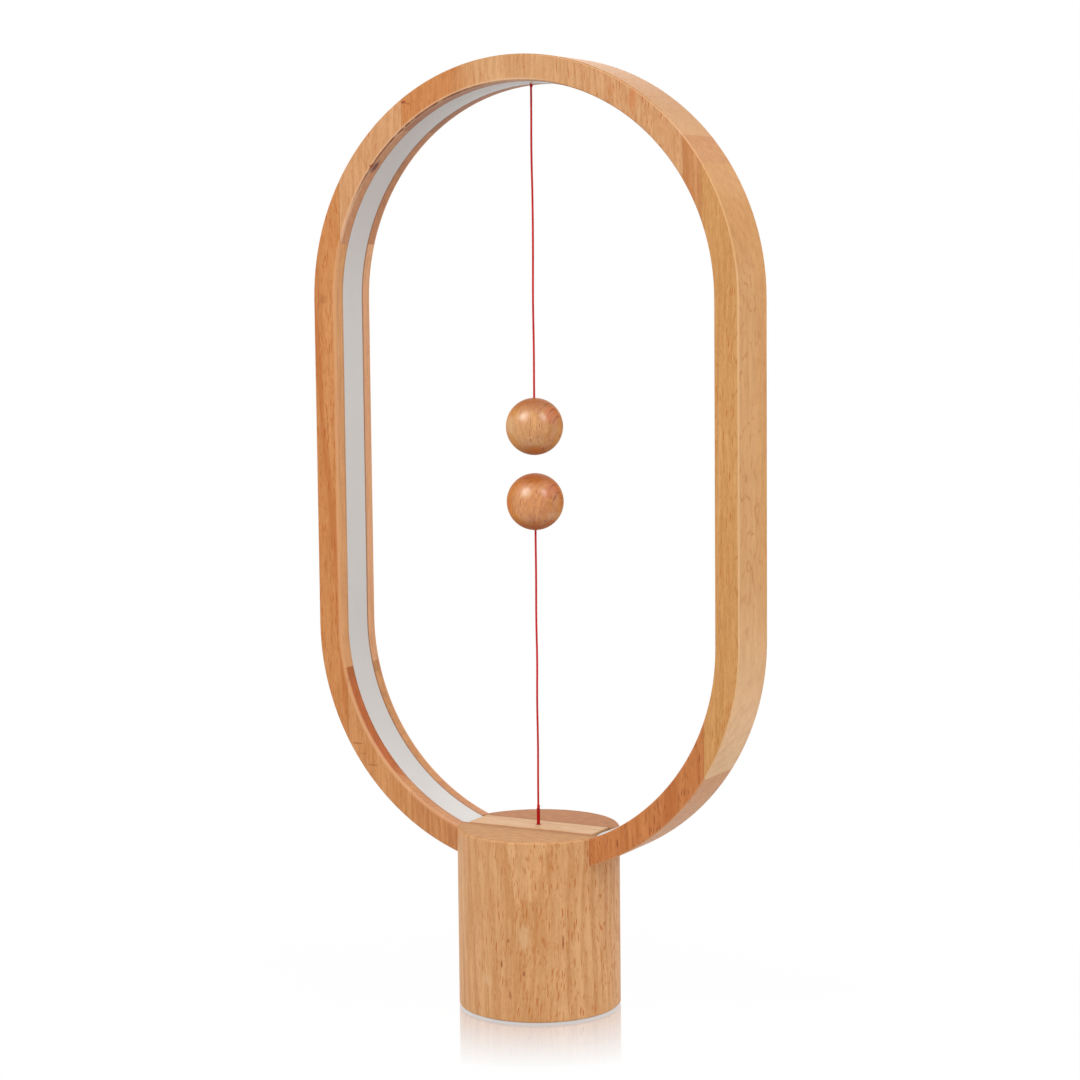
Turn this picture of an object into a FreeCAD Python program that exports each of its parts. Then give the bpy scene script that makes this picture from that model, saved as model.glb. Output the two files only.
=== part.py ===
import FreeCAD
import Part
import math
import os

import Sketcher
from FreeCAD import Placement, Rotation, Vector

# A balance lamp: an upright oval ring of solid beech stands in a turned base. Light comes
# from a diffuser in the ring's inner face. Two wooden balls hang on strings, one from the
# ring's top and one from the base. Magnets in the balls hold them a little apart, and the
# pull on the lower string works the switch in the base.
#
# Millimetres. +Z is up, +X runs along the ring's plane, -Y is the front. The origin is the
# centre of the base on the table.

DRIVING_SIZES = [
    # the ring
    ("overall_height", 400.0, "table to the top of the ring"),
    ("ring_width", 200.0, "ring, side to side"),
    ("ring_depth", 28.0, "ring, front to back"),
    ("ring_wall", 10.8, "thickness of the ring's wood"),
    ("ring_sink", 17.0, "top of the base to the lowest point of the ring"),
    ("ring_edge_bevel", 0.5, "bevel on the ring's long edges"),
    ("side_stave", 14.0, "width of the glued stave on the left side"),
    ("shoulder_stave", 8.2, "width of the stave at the right shoulder"),
    ("right_side_stave", 15.8, "width of the glued stave on the right side"),
    ("left_glue_line", 54.5, "middle of the ring to the glue line on its left"),
    ("middle_glue_line", 24.3, "middle of the ring to the glue line on its right"),
    ("groove_width", 15.2, "groove in the ring's inner face"),
    ("groove_depth", 5.0, "depth of that groove"),
    # light
    ("diffuser_thickness", 2.0, "diffuser, at its edges"),
    ("diffuser_crown", 0.5, "how far the diffuser stands proud in its middle"),
    ("diffuser_side_gap", 0.05, "play on each side of the diffuser in the groove"),
    ("diffuser_end", 30.3, "middle of the base to each end of the diffuser"),
    ("flex_width", 8.0, "flexible circuit of the light strip"),
    ("flex_thickness", 0.4, "flexible circuit with its adhesive"),
    ("flex_end", 24.0, "middle of the base to each end of the light strip"),
    ("chip_pitch", 16.6, "spacing of the light chips"),
    ("chip_length", 3.5, "light chip along the strip"),
    ("chip_width", 2.8, "light chip across the strip"),
    ("chip_thickness", 0.7, "light chip"),
    ("solder_gap", 0.05, "light chip above its circuit, at the middle of the chip"),
    # the base
    ("base_diameter", 69.0, "turned base"),
    ("base_height", 77.0, "table to the flat top of the base"),
    ("rim_bevel", 0.8, "bevel round the base's top"),
    ("foot_bevel", 0.6, "bevel round the base's foot"),
    ("pad_stand", 0.6, "how far the foot pad stands out of the base"),
    ("cavity_diameter", 48.0, "bore in the base that holds the electronics"),
    ("roof_thickness", 23.0, "wood of the base over that bore"),
    ("recess_diameter", 60.0, "recess for the bottom cover"),
    ("cover_thickness", 2.6, "bottom cover"),
    ("cover_play", 0.15, "radial play of the bottom cover"),
    ("pad_thickness", 1.0, "foot pad"),
    ("pad_inset", 0.6, "edge of the cover to the edge of the pad"),
    ("strip_raise", 0.4, "how far the wooden strip stands above the base"),
    ("strip_half_length", 29.5, "middle of the base to each end of the strip"),
    ("strip_edge_round", 0.25, "round on the strip's upper edges"),
    ("strip_hole", 2.4, "hole for the lower string"),
    # switch
    ("bush_outside", 6.0, "guide bush, tube"),
    ("bush_flange", 11.0, "guide bush, flange"),
    ("bush_flange_thickness", 1.5, "guide bush, flange"),
    ("slider_diameter", 3.0, "rod of the pull slider"),
    ("slider_play", 0.08, "radial running clearance of the rod"),
    ("slider_travel", 3.0, "how far the string lifts the slider"),
    ("slider_rise", 1.7, "rod above the guide bush when it is pulled up"),
    ("collar_diameter", 5.2, "collar that stops the slider"),
    ("collar_height", 1.5, "collar that stops the slider"),
    ("seat_diameter", 8.4, "spring seat of the slider"),
    ("seat_height", 1.5, "spring seat of the slider"),
    ("nose_length", 2.0, "nose of the slider below its spring seat"),
    ("spring_mean_diameter", 6.8, "return spring"),
    ("spring_wire", 0.45, "return spring"),
    ("spring_turns", 5.0, "return spring"),
    ("contact_gap", 0.1, "gap between parts that touch or stop each other"),
    ("switch_length", 20.0, "microswitch"),
    ("switch_width", 6.4, "microswitch"),
    ("switch_height", 10.0, "microswitch"),
    ("switch_overhang", 3.0, "microswitch, beyond the slider's axis"),
    ("lever_pivot_inset", 1.2, "lever's axle to the end of the microswitch"),
    ("lever_pivot_rise", 1.0, "lever's axle above the microswitch"),
    ("lever_thickness", 0.4, "sheet of the lever"),
    ("lever_width", 3.4, "sheet of the lever"),
    ("lever_overhang", 1.5, "lever beyond the slider's axis"),
    ("nose_low_rise", 2.6, "nose of the slider above the lever's axle when it is let down"),
    ("axle_diameter", 0.9, "lever's axle"),
    ("axle_play", 0.05, "radial running clearance of the axle"),
    ("lug_thickness", 0.8, "each lug that holds the axle"),
    ("axle_hole_skin", 0.3, "lug left outside the end of the axle's hole"),
    ("button_inset", 7.0, "button to the end of the microswitch"),
    ("button_diameter", 1.8, "button of the microswitch"),
    ("button_play", 0.1, "radial running clearance of the button"),
    ("button_length", 3.6, "button of the microswitch"),
    ("button_bore_depth", 3.6, "bore for the button"),
    # electronics
    ("board_length", 34.0, "driver board, side to side"),
    ("board_width", 28.0, "driver board, front to back"),
    ("board_thickness", 1.6, "driver board"),
    ("board_top", 20.0, "table to the top of the driver board"),
    ("post_diameter", 4.4, "posts of the cover under the board"),
    ("post_inset", 3.4, "board's edge to the middle of each post"),
    ("board_screw_diameter", 2.0, "board screws"),
    ("board_screw_length", 6.0, "board screws, under the head"),
    ("board_screw_head", 3.6, "board screws"),
    ("board_screw_head_height", 1.4, "board screws"),
    ("capacitor_diameter", 5.0, "capacitor on the board"),
    ("capacitor_height", 6.0, "capacitor on the board"),
    ("choke_diameter", 6.0, "choke on the board"),
    ("choke_height", 3.5, "choke on the board"),
    ("driver_chip_length", 5.0, "driver chip"),
    ("driver_chip_width", 4.0, "driver chip"),
    ("driver_chip_height", 1.5, "driver chip"),
    ("component_spacing", 8.0, "between the components"),
    ("component_row", 8.5, "middle of the board to the row of components"),
    ("screw_play", 0.05, "radial play of a screw in its hole"),
    ("cover_screw_circle", 54.0, "circle of the cover screws"),
    ("cover_screw_diameter", 2.4, "cover screws"),
    ("cover_screw_length", 9.0, "cover screws, with the head"),
    ("cover_screw_head", 4.4, "cover screws, countersunk head"),
    ("inlet_height", 12.0, "table to the middle of the inlet"),
    ("inlet_width", 14.0, "plastic insert of the inlet"),
    ("inlet_rise", 8.6, "plastic insert of the inlet"),
    ("inlet_sink", 1.2, "base's surface to the face of the insert"),
    ("inlet_length", 11.0, "insert, front to back"),
    ("socket_width", 8.94, "metal shell of the socket"),
    ("socket_rise", 3.26, "metal shell of the socket"),
    ("socket_wall", 0.3, "metal shell of the socket"),
    ("socket_length", 7.4, "metal shell of the socket"),
    ("socket_floor", 1.0, "back wall of the socket"),
    ("socket_sink", 0.4, "face of the insert to the mouth of the socket"),
    ("tongue_width", 6.6, "tongue of the socket"),
    ("tongue_thickness", 0.7, "tongue of the socket"),
    ("tongue_length", 5.4, "tongue of the socket"),
    ("lead_diameter", 1.2, "inner leads"),
    ("lead_spacing", 2.4, "between the two leads of a pair"),
    ("leads_hole", 4.4, "hole for the leads under the light strip"),
    ("leads_inset", 4.0, "end of the light strip to that hole"),
    # strings and balls
    ("string_diameter", 0.85, "both strings"),
    ("sleeve_diameter", 1.4, "red sleeve on the lower string"),
    ("sleeve_stand", 7.0, "sleeve above the wooden strip"),
    ("knot_diameter", 1.5, "knots that the strings swing on"),
    ("knot_gap", 0.06, "gap on each side of a knot"),
    ("anchor_diameter", 3.2, "plug that holds the upper string"),
    ("anchor_play", 0.05, "radial play of that plug"),
    ("anchor_depth", 3.0, "plug in the ring's wood"),
    ("ball_diameter", 24.0, "both balls"),
    ("upper_ball_height", 246.8, "table to the middle of the upper ball"),
    ("ball_gap", 7.6, "free gap between the balls"),
    ("ball_bore", 8.2, "bore in each ball"),
    ("ball_skin", 1.6, "wood between a magnet and the ball's face"),
    ("magnet_diameter", 8.0, "magnet in each ball"),
    ("magnet_height", 5.0, "magnet in each ball"),
    ("string_in_plug", 8.0, "string inside the ball's plug"),
    ("plug_hole", 1.1, "hole in the ball's plug"),
]

PLACES = [
    ("ring_underside", "Sizes.base_height - Sizes.ring_sink"),
    ("cavity_roof", "Sizes.base_height - Sizes.roof_thickness"),
    ("ring_radius", "Sizes.ring_width / 2"),
    ("inner_radius", "ring_radius - Sizes.ring_wall"),
    ("groove_radius", "inner_radius + Sizes.groove_depth"),
    ("diffuser_back_radius", "inner_radius + Sizes.diffuser_thickness"),
    ("flex_front_radius", "groove_radius - Sizes.flex_thickness"),
    ("chip_back_radius", "flex_front_radius - Sizes.solder_gap"),
    ("upper_centre", "Sizes.overall_height - ring_radius"),
    ("lower_centre", "ring_underside + ring_radius"),
    ("half_depth", "Sizes.ring_depth / 2"),
    ("half_groove", "Sizes.groove_width / 2"),
    ("half_diffuser", "half_groove - Sizes.diffuser_side_gap"),
    ("left_outer_line", "Sizes.side_stave - ring_radius"),
    ("left_inner_line", "-Sizes.left_glue_line"),
    ("right_outer_line", "ring_radius - Sizes.right_side_stave"),
    ("right_inner_line", "right_outer_line - Sizes.shoulder_stave"),
    ("base_radius", "Sizes.base_diameter / 2"),
    ("strip_top", "Sizes.base_height + Sizes.strip_raise"),
    ("cover_top", "Sizes.pad_thickness + Sizes.cover_thickness"),
    ("cover_radius", "Sizes.recess_diameter / 2 - Sizes.cover_play"),
    ("bush_top", "lower_centre - groove_radius"),
    ("bush_underside", "cavity_roof - Sizes.bush_flange_thickness"),
    ("bush_bore", "Sizes.slider_diameter / 2 + Sizes.slider_play"),
    ("board_underside", "Sizes.board_top - Sizes.board_thickness"),
    ("switch_top", "Sizes.board_top + Sizes.switch_height"),
    ("switch_end", "Sizes.switch_length - Sizes.switch_overhang"),
    ("pivot_across", "switch_end - Sizes.lever_pivot_inset"),
    ("pivot_up", "switch_top + Sizes.lever_pivot_rise"),
    ("slider_top", "bush_top + Sizes.slider_rise"),
    ("collar_top", "bush_underside - Sizes.contact_gap"),
    ("nose_tip", "pivot_up + Sizes.nose_low_rise + Sizes.slider_travel"),
    ("seat_underside", "nose_tip + Sizes.nose_length"),
    ("seat_top", "seat_underside + Sizes.seat_height"),
    ("lever_tip_up", "nose_tip - Sizes.contact_gap - Sizes.lever_thickness / 2"),
    ("lever_slope", "(lever_tip_up - pivot_up) / (pivot_across + Sizes.lever_overhang)"),
    ("button_across", "switch_end - Sizes.button_inset"),
    ("button_top", "pivot_up + (pivot_across - button_across) * lever_slope"
                   " - Sizes.lever_thickness / 2 - 1.5 * Sizes.contact_gap"
                   " - Sizes.button_diameter / 2 * lever_slope"),
    ("sleeve_top", "strip_top + Sizes.sleeve_stand"),
    ("knot_radius", "Sizes.knot_diameter / 2"),
    ("lower_pivot", "sleeve_top + Sizes.knot_gap + knot_radius"),
    ("anchor_underside", "upper_centre + inner_radius - Sizes.diffuser_crown"),
    ("upper_pivot", "anchor_underside - Sizes.knot_gap - knot_radius"),
    ("ball_radius", "Sizes.ball_diameter / 2"),
    ("lower_ball_height", "Sizes.upper_ball_height - Sizes.ball_diameter - Sizes.ball_gap"),
    ("leads_across", "Sizes.flex_end - Sizes.leads_inset"),
    ("inlet_face", "base_radius - Sizes.inlet_sink"),
    ("crown_radius", "(half_diffuser * half_diffuser + Sizes.diffuser_crown"
                     " * Sizes.diffuser_crown) / (2 * Sizes.diffuser_crown)"),
]

PAST = 1  # how far a cutting tool reaches beyond what it cuts

doc = FreeCAD.newDocument("balance_lamp")
nodes = {}


# ---------------------------------------------------------------- sizes and places


def make_sizes():
    sheet = doc.addObject("Spreadsheet::Sheet", "Sizes")
    for row, (alias, value, meaning) in enumerate(DRIVING_SIZES, start=1):
        sheet.set(f"A{row}", meaning)
        sheet.set(f"B{row}", str(value))
        sheet.setAlias(f"B{row}", alias)
    doc.recompute()
    return sheet


def make_places():
    holder = doc.addObject("App::VarSet", "Places")
    for name, formula in PLACES:
        holder.addProperty("App::PropertyFloat", name)
        holder.setExpression(name, formula)
    doc.recompute()
    return holder


# ---------------------------------------------------------------- sketches


def new_body(label):
    body = doc.addObject("PartDesign::Body", label)
    body.Label = label
    return body


def new_sketch(body, role, offset=None):
    """A sketch on one of the body's own origin planes, moved along its normal by offset."""
    sketch = body.newObject("Sketcher::SketchObject", body.Name + "_sketch")
    plane = next(item for item in body.Origin.OriginFeatures if item.Role == role)
    sketch.AttachmentSupport = [(plane, "")]
    sketch.MapMode = "FlatFace"
    if offset:
        sketch.setExpression(".AttachmentOffset.Base.z", offset)
    return sketch


def bind(sketch, constraint, formula):
    index = sketch.addConstraint(constraint)
    sketch.setExpression(f"Constraints[{index}]", formula)


def place_point(sketch, element, end, across, up):
    """Tie a point to formulas for its two coordinates; "0" puts it on that axis."""
    point = sketch.getPoint(element, end)
    if across == "0":
        sketch.addConstraint(Sketcher.Constraint("PointOnObject", element, end, -2))
    else:
        bind(sketch, Sketcher.Constraint("DistanceX", -1, 1, element, end, point.x), across)
    if up == "0":
        sketch.addConstraint(Sketcher.Constraint("PointOnObject", element, end, -1))
    else:
        bind(sketch, Sketcher.Constraint("DistanceY", -1, 1, element, end, point.y), up)


def draw_polygon(sketch, corners):
    """A closed outline of straight lines; its corners are pairs of formulas."""
    count = len(corners)
    turn = 2 * math.pi / count
    seeds = [Vector(math.cos(turn * i) + 3, math.sin(turn * i) + 3, 0) for i in range(count)]
    for i in range(count):
        sketch.addGeometry(Part.LineSegment(seeds[i], seeds[(i + 1) % count]), False)
    for i in range(count):
        sketch.addConstraint(Sketcher.Constraint("Coincident", i, 2, (i + 1) % count, 1))
    for i, (across, up) in enumerate(corners):
        place_point(sketch, i, 1, across, up)


def draw_circle(sketch, across, up, radius):
    index = sketch.addGeometry(Part.Circle(Vector(1, 1, 0), Vector(0, 0, 1), 1), False)
    place_point(sketch, index, 3, across, up)
    bind(sketch, Sketcher.Constraint("Radius", index, 1.0), radius)


def draw_oval(sketch, radius_name):
    """Two half circles joined by straight sides: the ring's outline at a given radius."""
    radius = getattr(places, radius_name)
    low = places.lower_centre
    high = places.upper_centre
    normal = Vector(0, 0, 1)
    top = Part.Circle(Vector(0, high, 0), normal, radius)
    bottom = Part.Circle(Vector(0, low, 0), normal, radius)
    sketch.addGeometry(Part.ArcOfCircle(top, 0, math.pi), False)
    sketch.addGeometry(Part.LineSegment(Vector(-radius, high, 0), Vector(-radius, low, 0)), False)
    sketch.addGeometry(Part.ArcOfCircle(bottom, math.pi, 2 * math.pi), False)
    sketch.addGeometry(Part.LineSegment(Vector(radius, low, 0), Vector(radius, high, 0)), False)
    for i in range(4):
        sketch.addConstraint(Sketcher.Constraint("Tangent", i, 2, (i + 1) % 4, 1))
    sketch.addConstraint(Sketcher.Constraint("Vertical", 1))
    sketch.addConstraint(Sketcher.Constraint("PointOnObject", 0, 3, -2))
    sketch.addConstraint(Sketcher.Constraint("PointOnObject", 2, 3, -2))
    bind(sketch, Sketcher.Constraint("DistanceY", -1, 1, 0, 3, high), "Places.upper_centre")
    bind(sketch, Sketcher.Constraint("DistanceY", -1, 1, 2, 3, low), "Places.lower_centre")
    bind(sketch, Sketcher.Constraint("Radius", 0, radius), f"Places.{radius_name}")


def oval_sketch(body, radius_name):
    sketch = new_sketch(body, "XZ_Plane")
    draw_oval(sketch, radius_name)
    return sketch


# ---------------------------------------------------------------- features of a body


def extrude(body, kind, sketch, length, middle=True, back=False):
    """A Pad or a Pocket of the sketch, to both sides of its plane or to one."""
    feature = body.newObject("PartDesign::" + kind, body.Name + "_" + kind.lower())
    feature.Profile = sketch
    feature.setExpression("Length", length)
    feature.Midplane = middle
    feature.Reversed = back
    return feature


def revolve(body, sketch):
    feature = body.newObject("PartDesign::Revolution", body.Name + "_revolution")
    feature.Profile = sketch
    feature.ReferenceAxis = (sketch, ["V_Axis"])
    feature.Angle = 360
    return feature


def turned(label, corners):
    """A turned piece: corners are (radius, height) formulas."""
    body = new_body(label)
    sketch = new_sketch(body, "XZ_Plane")
    draw_polygon(sketch, corners)
    revolve(body, sketch)
    return body


def ease_edges(body, kind, size_name, base, size, chosen):
    """A Fillet or a Chamfer on those edges of the base feature that chosen() accepts."""
    doc.recompute()
    names = [f"Edge{i}" for i, edge in enumerate(base.Shape.Edges, start=1) if chosen(edge)]
    feature = body.newObject("PartDesign::" + kind, body.Name + "_" + kind.lower())
    feature.Base = (base, names)
    feature.setExpression(size_name, size)


# ---------------------------------------------------------------- primitives and booleans


def put(item, across="0", deep="0", up="0"):
    for axis, formula in zip("xyz", (across, deep, up)):
        if formula != "0":
            item.setExpression(f".Placement.Base.{axis}", formula)
    return item


def box(label, low, high):
    """A box between two corners, each a triple of formulas."""
    item = doc.addObject("Part::Box", label)
    for name, start, end in zip(("Length", "Width", "Height"), low, high):
        item.setExpression(name, f"({end}) - ({start})")
    return put(item, *low)


def rod(label, radius, low, high, across="0", deep="0"):
    """An upright cylinder from one height to another."""
    item = doc.addObject("Part::Cylinder", label)
    item.setExpression("Radius", radius)
    item.setExpression("Height", f"({high}) - ({low})")
    return put(item, across, deep, low)


def lying_rod(label, radius, front, rear, across, up):
    """A cylinder along Y, from its front end to its rear end."""
    item = doc.addObject("Part::Cylinder", label)
    item.setExpression("Radius", radius)
    item.setExpression("Height", f"({rear}) - ({front})")
    item.Placement = Placement(Vector(), Rotation(Vector(1, 0, 0), -90))
    return put(item, across, front, up)


def ball(label, radius, up):
    item = doc.addObject("Part::Sphere", label)
    item.setExpression("Radius", radius)
    return put(item, up=up)


def cut(label, base, *tools):
    result = base
    for i, tool in enumerate(tools):
        step = doc.addObject("Part::Cut", label if i == len(tools) - 1 else label + "_step")
        step.Base = result
        step.Tool = tool
        result = step
    return result


def fuse(label, *items):
    result = doc.addObject("Part::MultiFuse", label)
    result.Shapes = list(items)
    return result


def common(label, first, second):
    result = doc.addObject("Part::MultiCommon", label)
    result.Shapes = [first, second]
    return result


def keep(label, item):
    """Register an object as a finished piece under its node's name."""
    item.Label = label
    nodes[label] = item
    return item


def leads_hole(label, low, high):
    """The hole for the leads, from the cavity's roof up to the ring's groove."""
    return rod(label, "Sizes.leads_hole / 2", low, high, "-Places.leads_across")


# ---------------------------------------------------------------- the ring


def make_ring_blank():
    """The whole ring with its groove, before it is parted along its glue lines."""
    body = new_body("ring_blank")
    extrude(body, "Pad", oval_sketch(body, "ring_radius"), "Sizes.ring_depth")
    hollow = extrude(body, "Pocket", oval_sketch(body, "inner_radius"), f"Sizes.ring_depth + {PAST}")

    def on_a_face(edge):
        return edge.BoundBox.YLength < 0.01

    ease_edges(body, "Chamfer", "Size", hollow, "Sizes.ring_edge_bevel", on_a_face)
    extrude(body, "Pocket", oval_sketch(body, "groove_radius"), "Sizes.groove_width")
    return body


def make_ring():
    """The ring is cut from a board that is glued up from upright staves."""
    blank = make_ring_blank()
    left, right = f"-Places.ring_radius - {PAST}", f"Places.ring_radius + {PAST}"
    middle = "(Places.upper_centre + Places.lower_centre) / 2"
    top, bottom = f"Sizes.overall_height + {PAST}", f"Places.ring_underside - {PAST}"
    left_outer, left_inner = "Places.left_outer_line", "Places.left_inner_line"
    right_outer, right_inner = "Places.right_outer_line", "Places.right_inner_line"
    staves = [
        ("ring_left_side", left, left_outer, bottom, top),
        ("ring_top_left", left_outer, left_inner, middle, top),
        ("ring_top_middle", left_inner, "Sizes.middle_glue_line", middle, top),
        ("ring_top_right", "Sizes.middle_glue_line", right_inner, middle, top),
        ("ring_right_shoulder", right_inner, right_outer, middle, top),
        ("ring_right_side", right_outer, right, bottom, top),
        ("ring_bottom_right", "Sizes.middle_glue_line", right_outer, bottom, middle),
        ("ring_bottom_middle", left_inner, "Sizes.middle_glue_line", bottom, middle),
        ("ring_bottom_left", left_outer, left_inner, bottom, middle),
    ]
    holes = {
        "ring_bottom_middle": [
            rod("bush_hole_in_ring", "Sizes.bush_outside / 2", bottom, "Sizes.base_height"),
            leads_hole("leads_hole_in_ring", bottom, "Sizes.base_height"),
        ],
        "ring_top_middle": [
            rod(
                "anchor_hole_in_ring",
                "Sizes.anchor_diameter / 2 + Sizes.anchor_play",
                f"Places.anchor_underside - {PAST}",
                "Places.upper_centre + Places.groove_radius + Sizes.anchor_depth",
            )
        ],
    }
    for name, start, end, low, high in staves:
        tool = box(
            name + "_share",
            (start, f"-Places.half_depth - {PAST}", low),
            (end, f"Places.half_depth + {PAST}", high),
        )
        stave = common(name, blank, tool)
        if name in holes:
            stave = cut(name + "_drilled", stave, *holes[name])
        keep(name, stave)


# ---------------------------------------------------------------- the light


def base_gap_box(label, half_length):
    """The stretch of the groove inside the base, where the light strip is left out."""
    return box(
        label,
        (f"-{half_length}", "-Places.half_depth", "Places.ring_underside"),
        (half_length, "Places.half_depth", "Places.lower_centre"),
    )


def make_diffuser():
    """A milky strip with a slightly crowned face, bent round the groove."""
    body = new_body("diffuser_band")
    path = oval_sketch(body, "inner_radius")
    profile = new_sketch(body, "XY_Plane", "Places.lower_centre")
    edge, back = places.inner_radius, places.diffuser_back_radius
    half, crown = places.half_diffuser, places.crown_radius
    seeds = [Vector(edge, half, 0), Vector(back, half, 0), Vector(back, -half, 0), Vector(edge, -half, 0)]
    for start, end in zip(seeds, seeds[1:]):
        profile.addGeometry(Part.LineSegment(start, end), False)
    peak = Vector(edge - sizes.diffuser_crown, 0, 0)
    profile.addGeometry(Part.Arc(seeds[3], peak, seeds[0]), False)
    corners = [
        ("Places.inner_radius", "Places.half_diffuser"),
        ("Places.diffuser_back_radius", "Places.half_diffuser"),
        ("Places.diffuser_back_radius", "-Places.half_diffuser"),
    ]
    for i, (across, up) in enumerate(corners):
        place_point(profile, i, 1, across, up)
    place_point(profile, 2, 2, "Places.inner_radius", "-Places.half_diffuser")
    profile.addConstraint(Sketcher.Constraint("Coincident", 0, 2, 1, 1))
    profile.addConstraint(Sketcher.Constraint("Coincident", 1, 2, 2, 1))
    arc_ends = ((3, 1), (3, 2))
    if profile.getPoint(3, 1).y > 0:
        arc_ends = ((3, 2), (3, 1))
    profile.addConstraint(Sketcher.Constraint("Coincident", 2, 2, *arc_ends[0]))
    profile.addConstraint(Sketcher.Constraint("Coincident", 0, 1, *arc_ends[1]))
    bind(profile, Sketcher.Constraint("Radius", 3, crown), "Places.crown_radius")
    pipe = body.newObject("PartDesign::AdditivePipe", "diffuser_pipe")
    pipe.Profile = profile
    pipe.Spine = (path, [])
    pipe.Mode = "Frenet"
    pipe.Transition = "Transformed"
    hole = rod(
        "anchor_hole_in_diffuser",
        "Sizes.anchor_diameter / 2 + Sizes.anchor_play",
        f"Places.anchor_underside - {PAST}",
        "Sizes.overall_height",
    )
    keep("diffuser", cut("diffuser", body, base_gap_box("diffuser_end_tool", "Sizes.diffuser_end"), hole))


def make_light_strip():
    """The flexible circuit on the groove's floor, and the chips along it."""
    body = new_body("flex_band")
    extrude(body, "Pad", oval_sketch(body, "groove_radius"), "Sizes.flex_width")
    extrude(body, "Pocket", oval_sketch(body, "flex_front_radius"), f"Sizes.flex_width + {PAST}")
    hole = rod(
        "anchor_hole_in_flex",
        "Sizes.anchor_diameter / 2 + 4 * Sizes.anchor_play",
        "Places.anchor_underside",
        "Sizes.overall_height",
    )
    keep("led_strip", cut("led_strip", body, base_gap_box("flex_end_tool", "Sizes.flex_end"), hole))

    radius = places.chip_back_radius
    low, high = places.lower_centre, places.upper_centre
    end_angle = math.asin(sizes.flex_end / radius)
    side, arc = high - low, radius * math.pi / 2
    quarter = arc - radius * end_angle
    half_path = quarter + side + arc
    pitch = sizes.chip_pitch
    chips = []
    for i in range(int((half_path - pitch) / pitch) + 1):
        along = (i + 0.5) * pitch  # from the top of the ring down one side
        if along < arc:
            angle = math.pi / 2 - along / radius
            middle = Vector(radius * math.cos(angle), 0, high + radius * math.sin(angle))
        elif along < arc + side:
            angle = 0.0
            middle = Vector(radius, 0, high - (along - arc))
        else:
            angle = -(along - arc - side) / radius
            middle = Vector(radius * math.cos(angle), 0, low + radius * math.sin(angle))
        for mirror in (1, -1):
            chip = Part.makeBox(
                sizes.chip_thickness,
                sizes.chip_width,
                sizes.chip_length,
                Vector(-sizes.chip_thickness, -sizes.chip_width / 2, -sizes.chip_length / 2),
            )
            lean = math.degrees(angle if mirror > 0 else math.pi - angle)
            chip.Placement = Placement(
                Vector(mirror * middle.x, 0, middle.z), Rotation(Vector(0, 1, 0), -lean)
            )
            chips.append(chip)
    group = doc.addObject("Part::Feature", "led_chips")
    group.Shape = Part.makeCompound(chips)
    keep("led_chips", group)


# ---------------------------------------------------------------- the base


def base_outline():
    """The turned outline of the base, solid, as (radius, height) formulas."""
    radius, height = "Places.base_radius", "Sizes.base_height"
    return [
        ("0", height),
        (f"{radius} - Sizes.rim_bevel", height),
        (radius, f"{height} - Sizes.rim_bevel"),
        (radius, "Sizes.pad_stand + Sizes.foot_bevel"),
        (f"{radius} - Sizes.foot_bevel", "Sizes.pad_stand"),
        ("0", "Sizes.pad_stand"),
    ]


def cover_screw_places():
    """Three screws on a circle, none of them under the inlet at the rear."""
    circle = "Sizes.cover_screw_circle / 2"
    return [
        (f"{circle} * cos({angle})", f"{circle} * sin({angle})") for angle in (30, 150, 270)
    ]


def make_base():
    outline = base_outline()[:-1] + [
        ("Sizes.recess_diameter / 2", "Sizes.pad_stand"),
        ("Sizes.recess_diameter / 2", "Places.cover_top"),
        ("Sizes.cavity_diameter / 2", "Places.cover_top"),
        ("Sizes.cavity_diameter / 2", "Places.cavity_roof"),
        ("0", "Places.cavity_roof"),
    ]
    body = turned("base_turning", outline)
    extrude(body, "Pocket", oval_sketch(body, "ring_radius"), "Sizes.ring_depth")
    below_roof = f"Places.cavity_roof - {PAST}"
    tools = [
        rod("bush_hole_in_base", "Sizes.bush_outside / 2", below_roof, "Sizes.base_height"),
        leads_hole("leads_hole_in_base", below_roof, "Sizes.base_height"),
        insert_hole(),
    ]
    pilot = "Sizes.cover_screw_diameter / 2 + Sizes.screw_play"
    depth = f"Sizes.pad_thickness + Sizes.cover_screw_length + {PAST}"
    for i, (across, deep) in enumerate(cover_screw_places()):
        tools.append(rod(f"pilot_{i}", pilot, "Sizes.pad_thickness", depth, across, deep))
    keep("base_body", cut("base_body", body, *tools))


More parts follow.
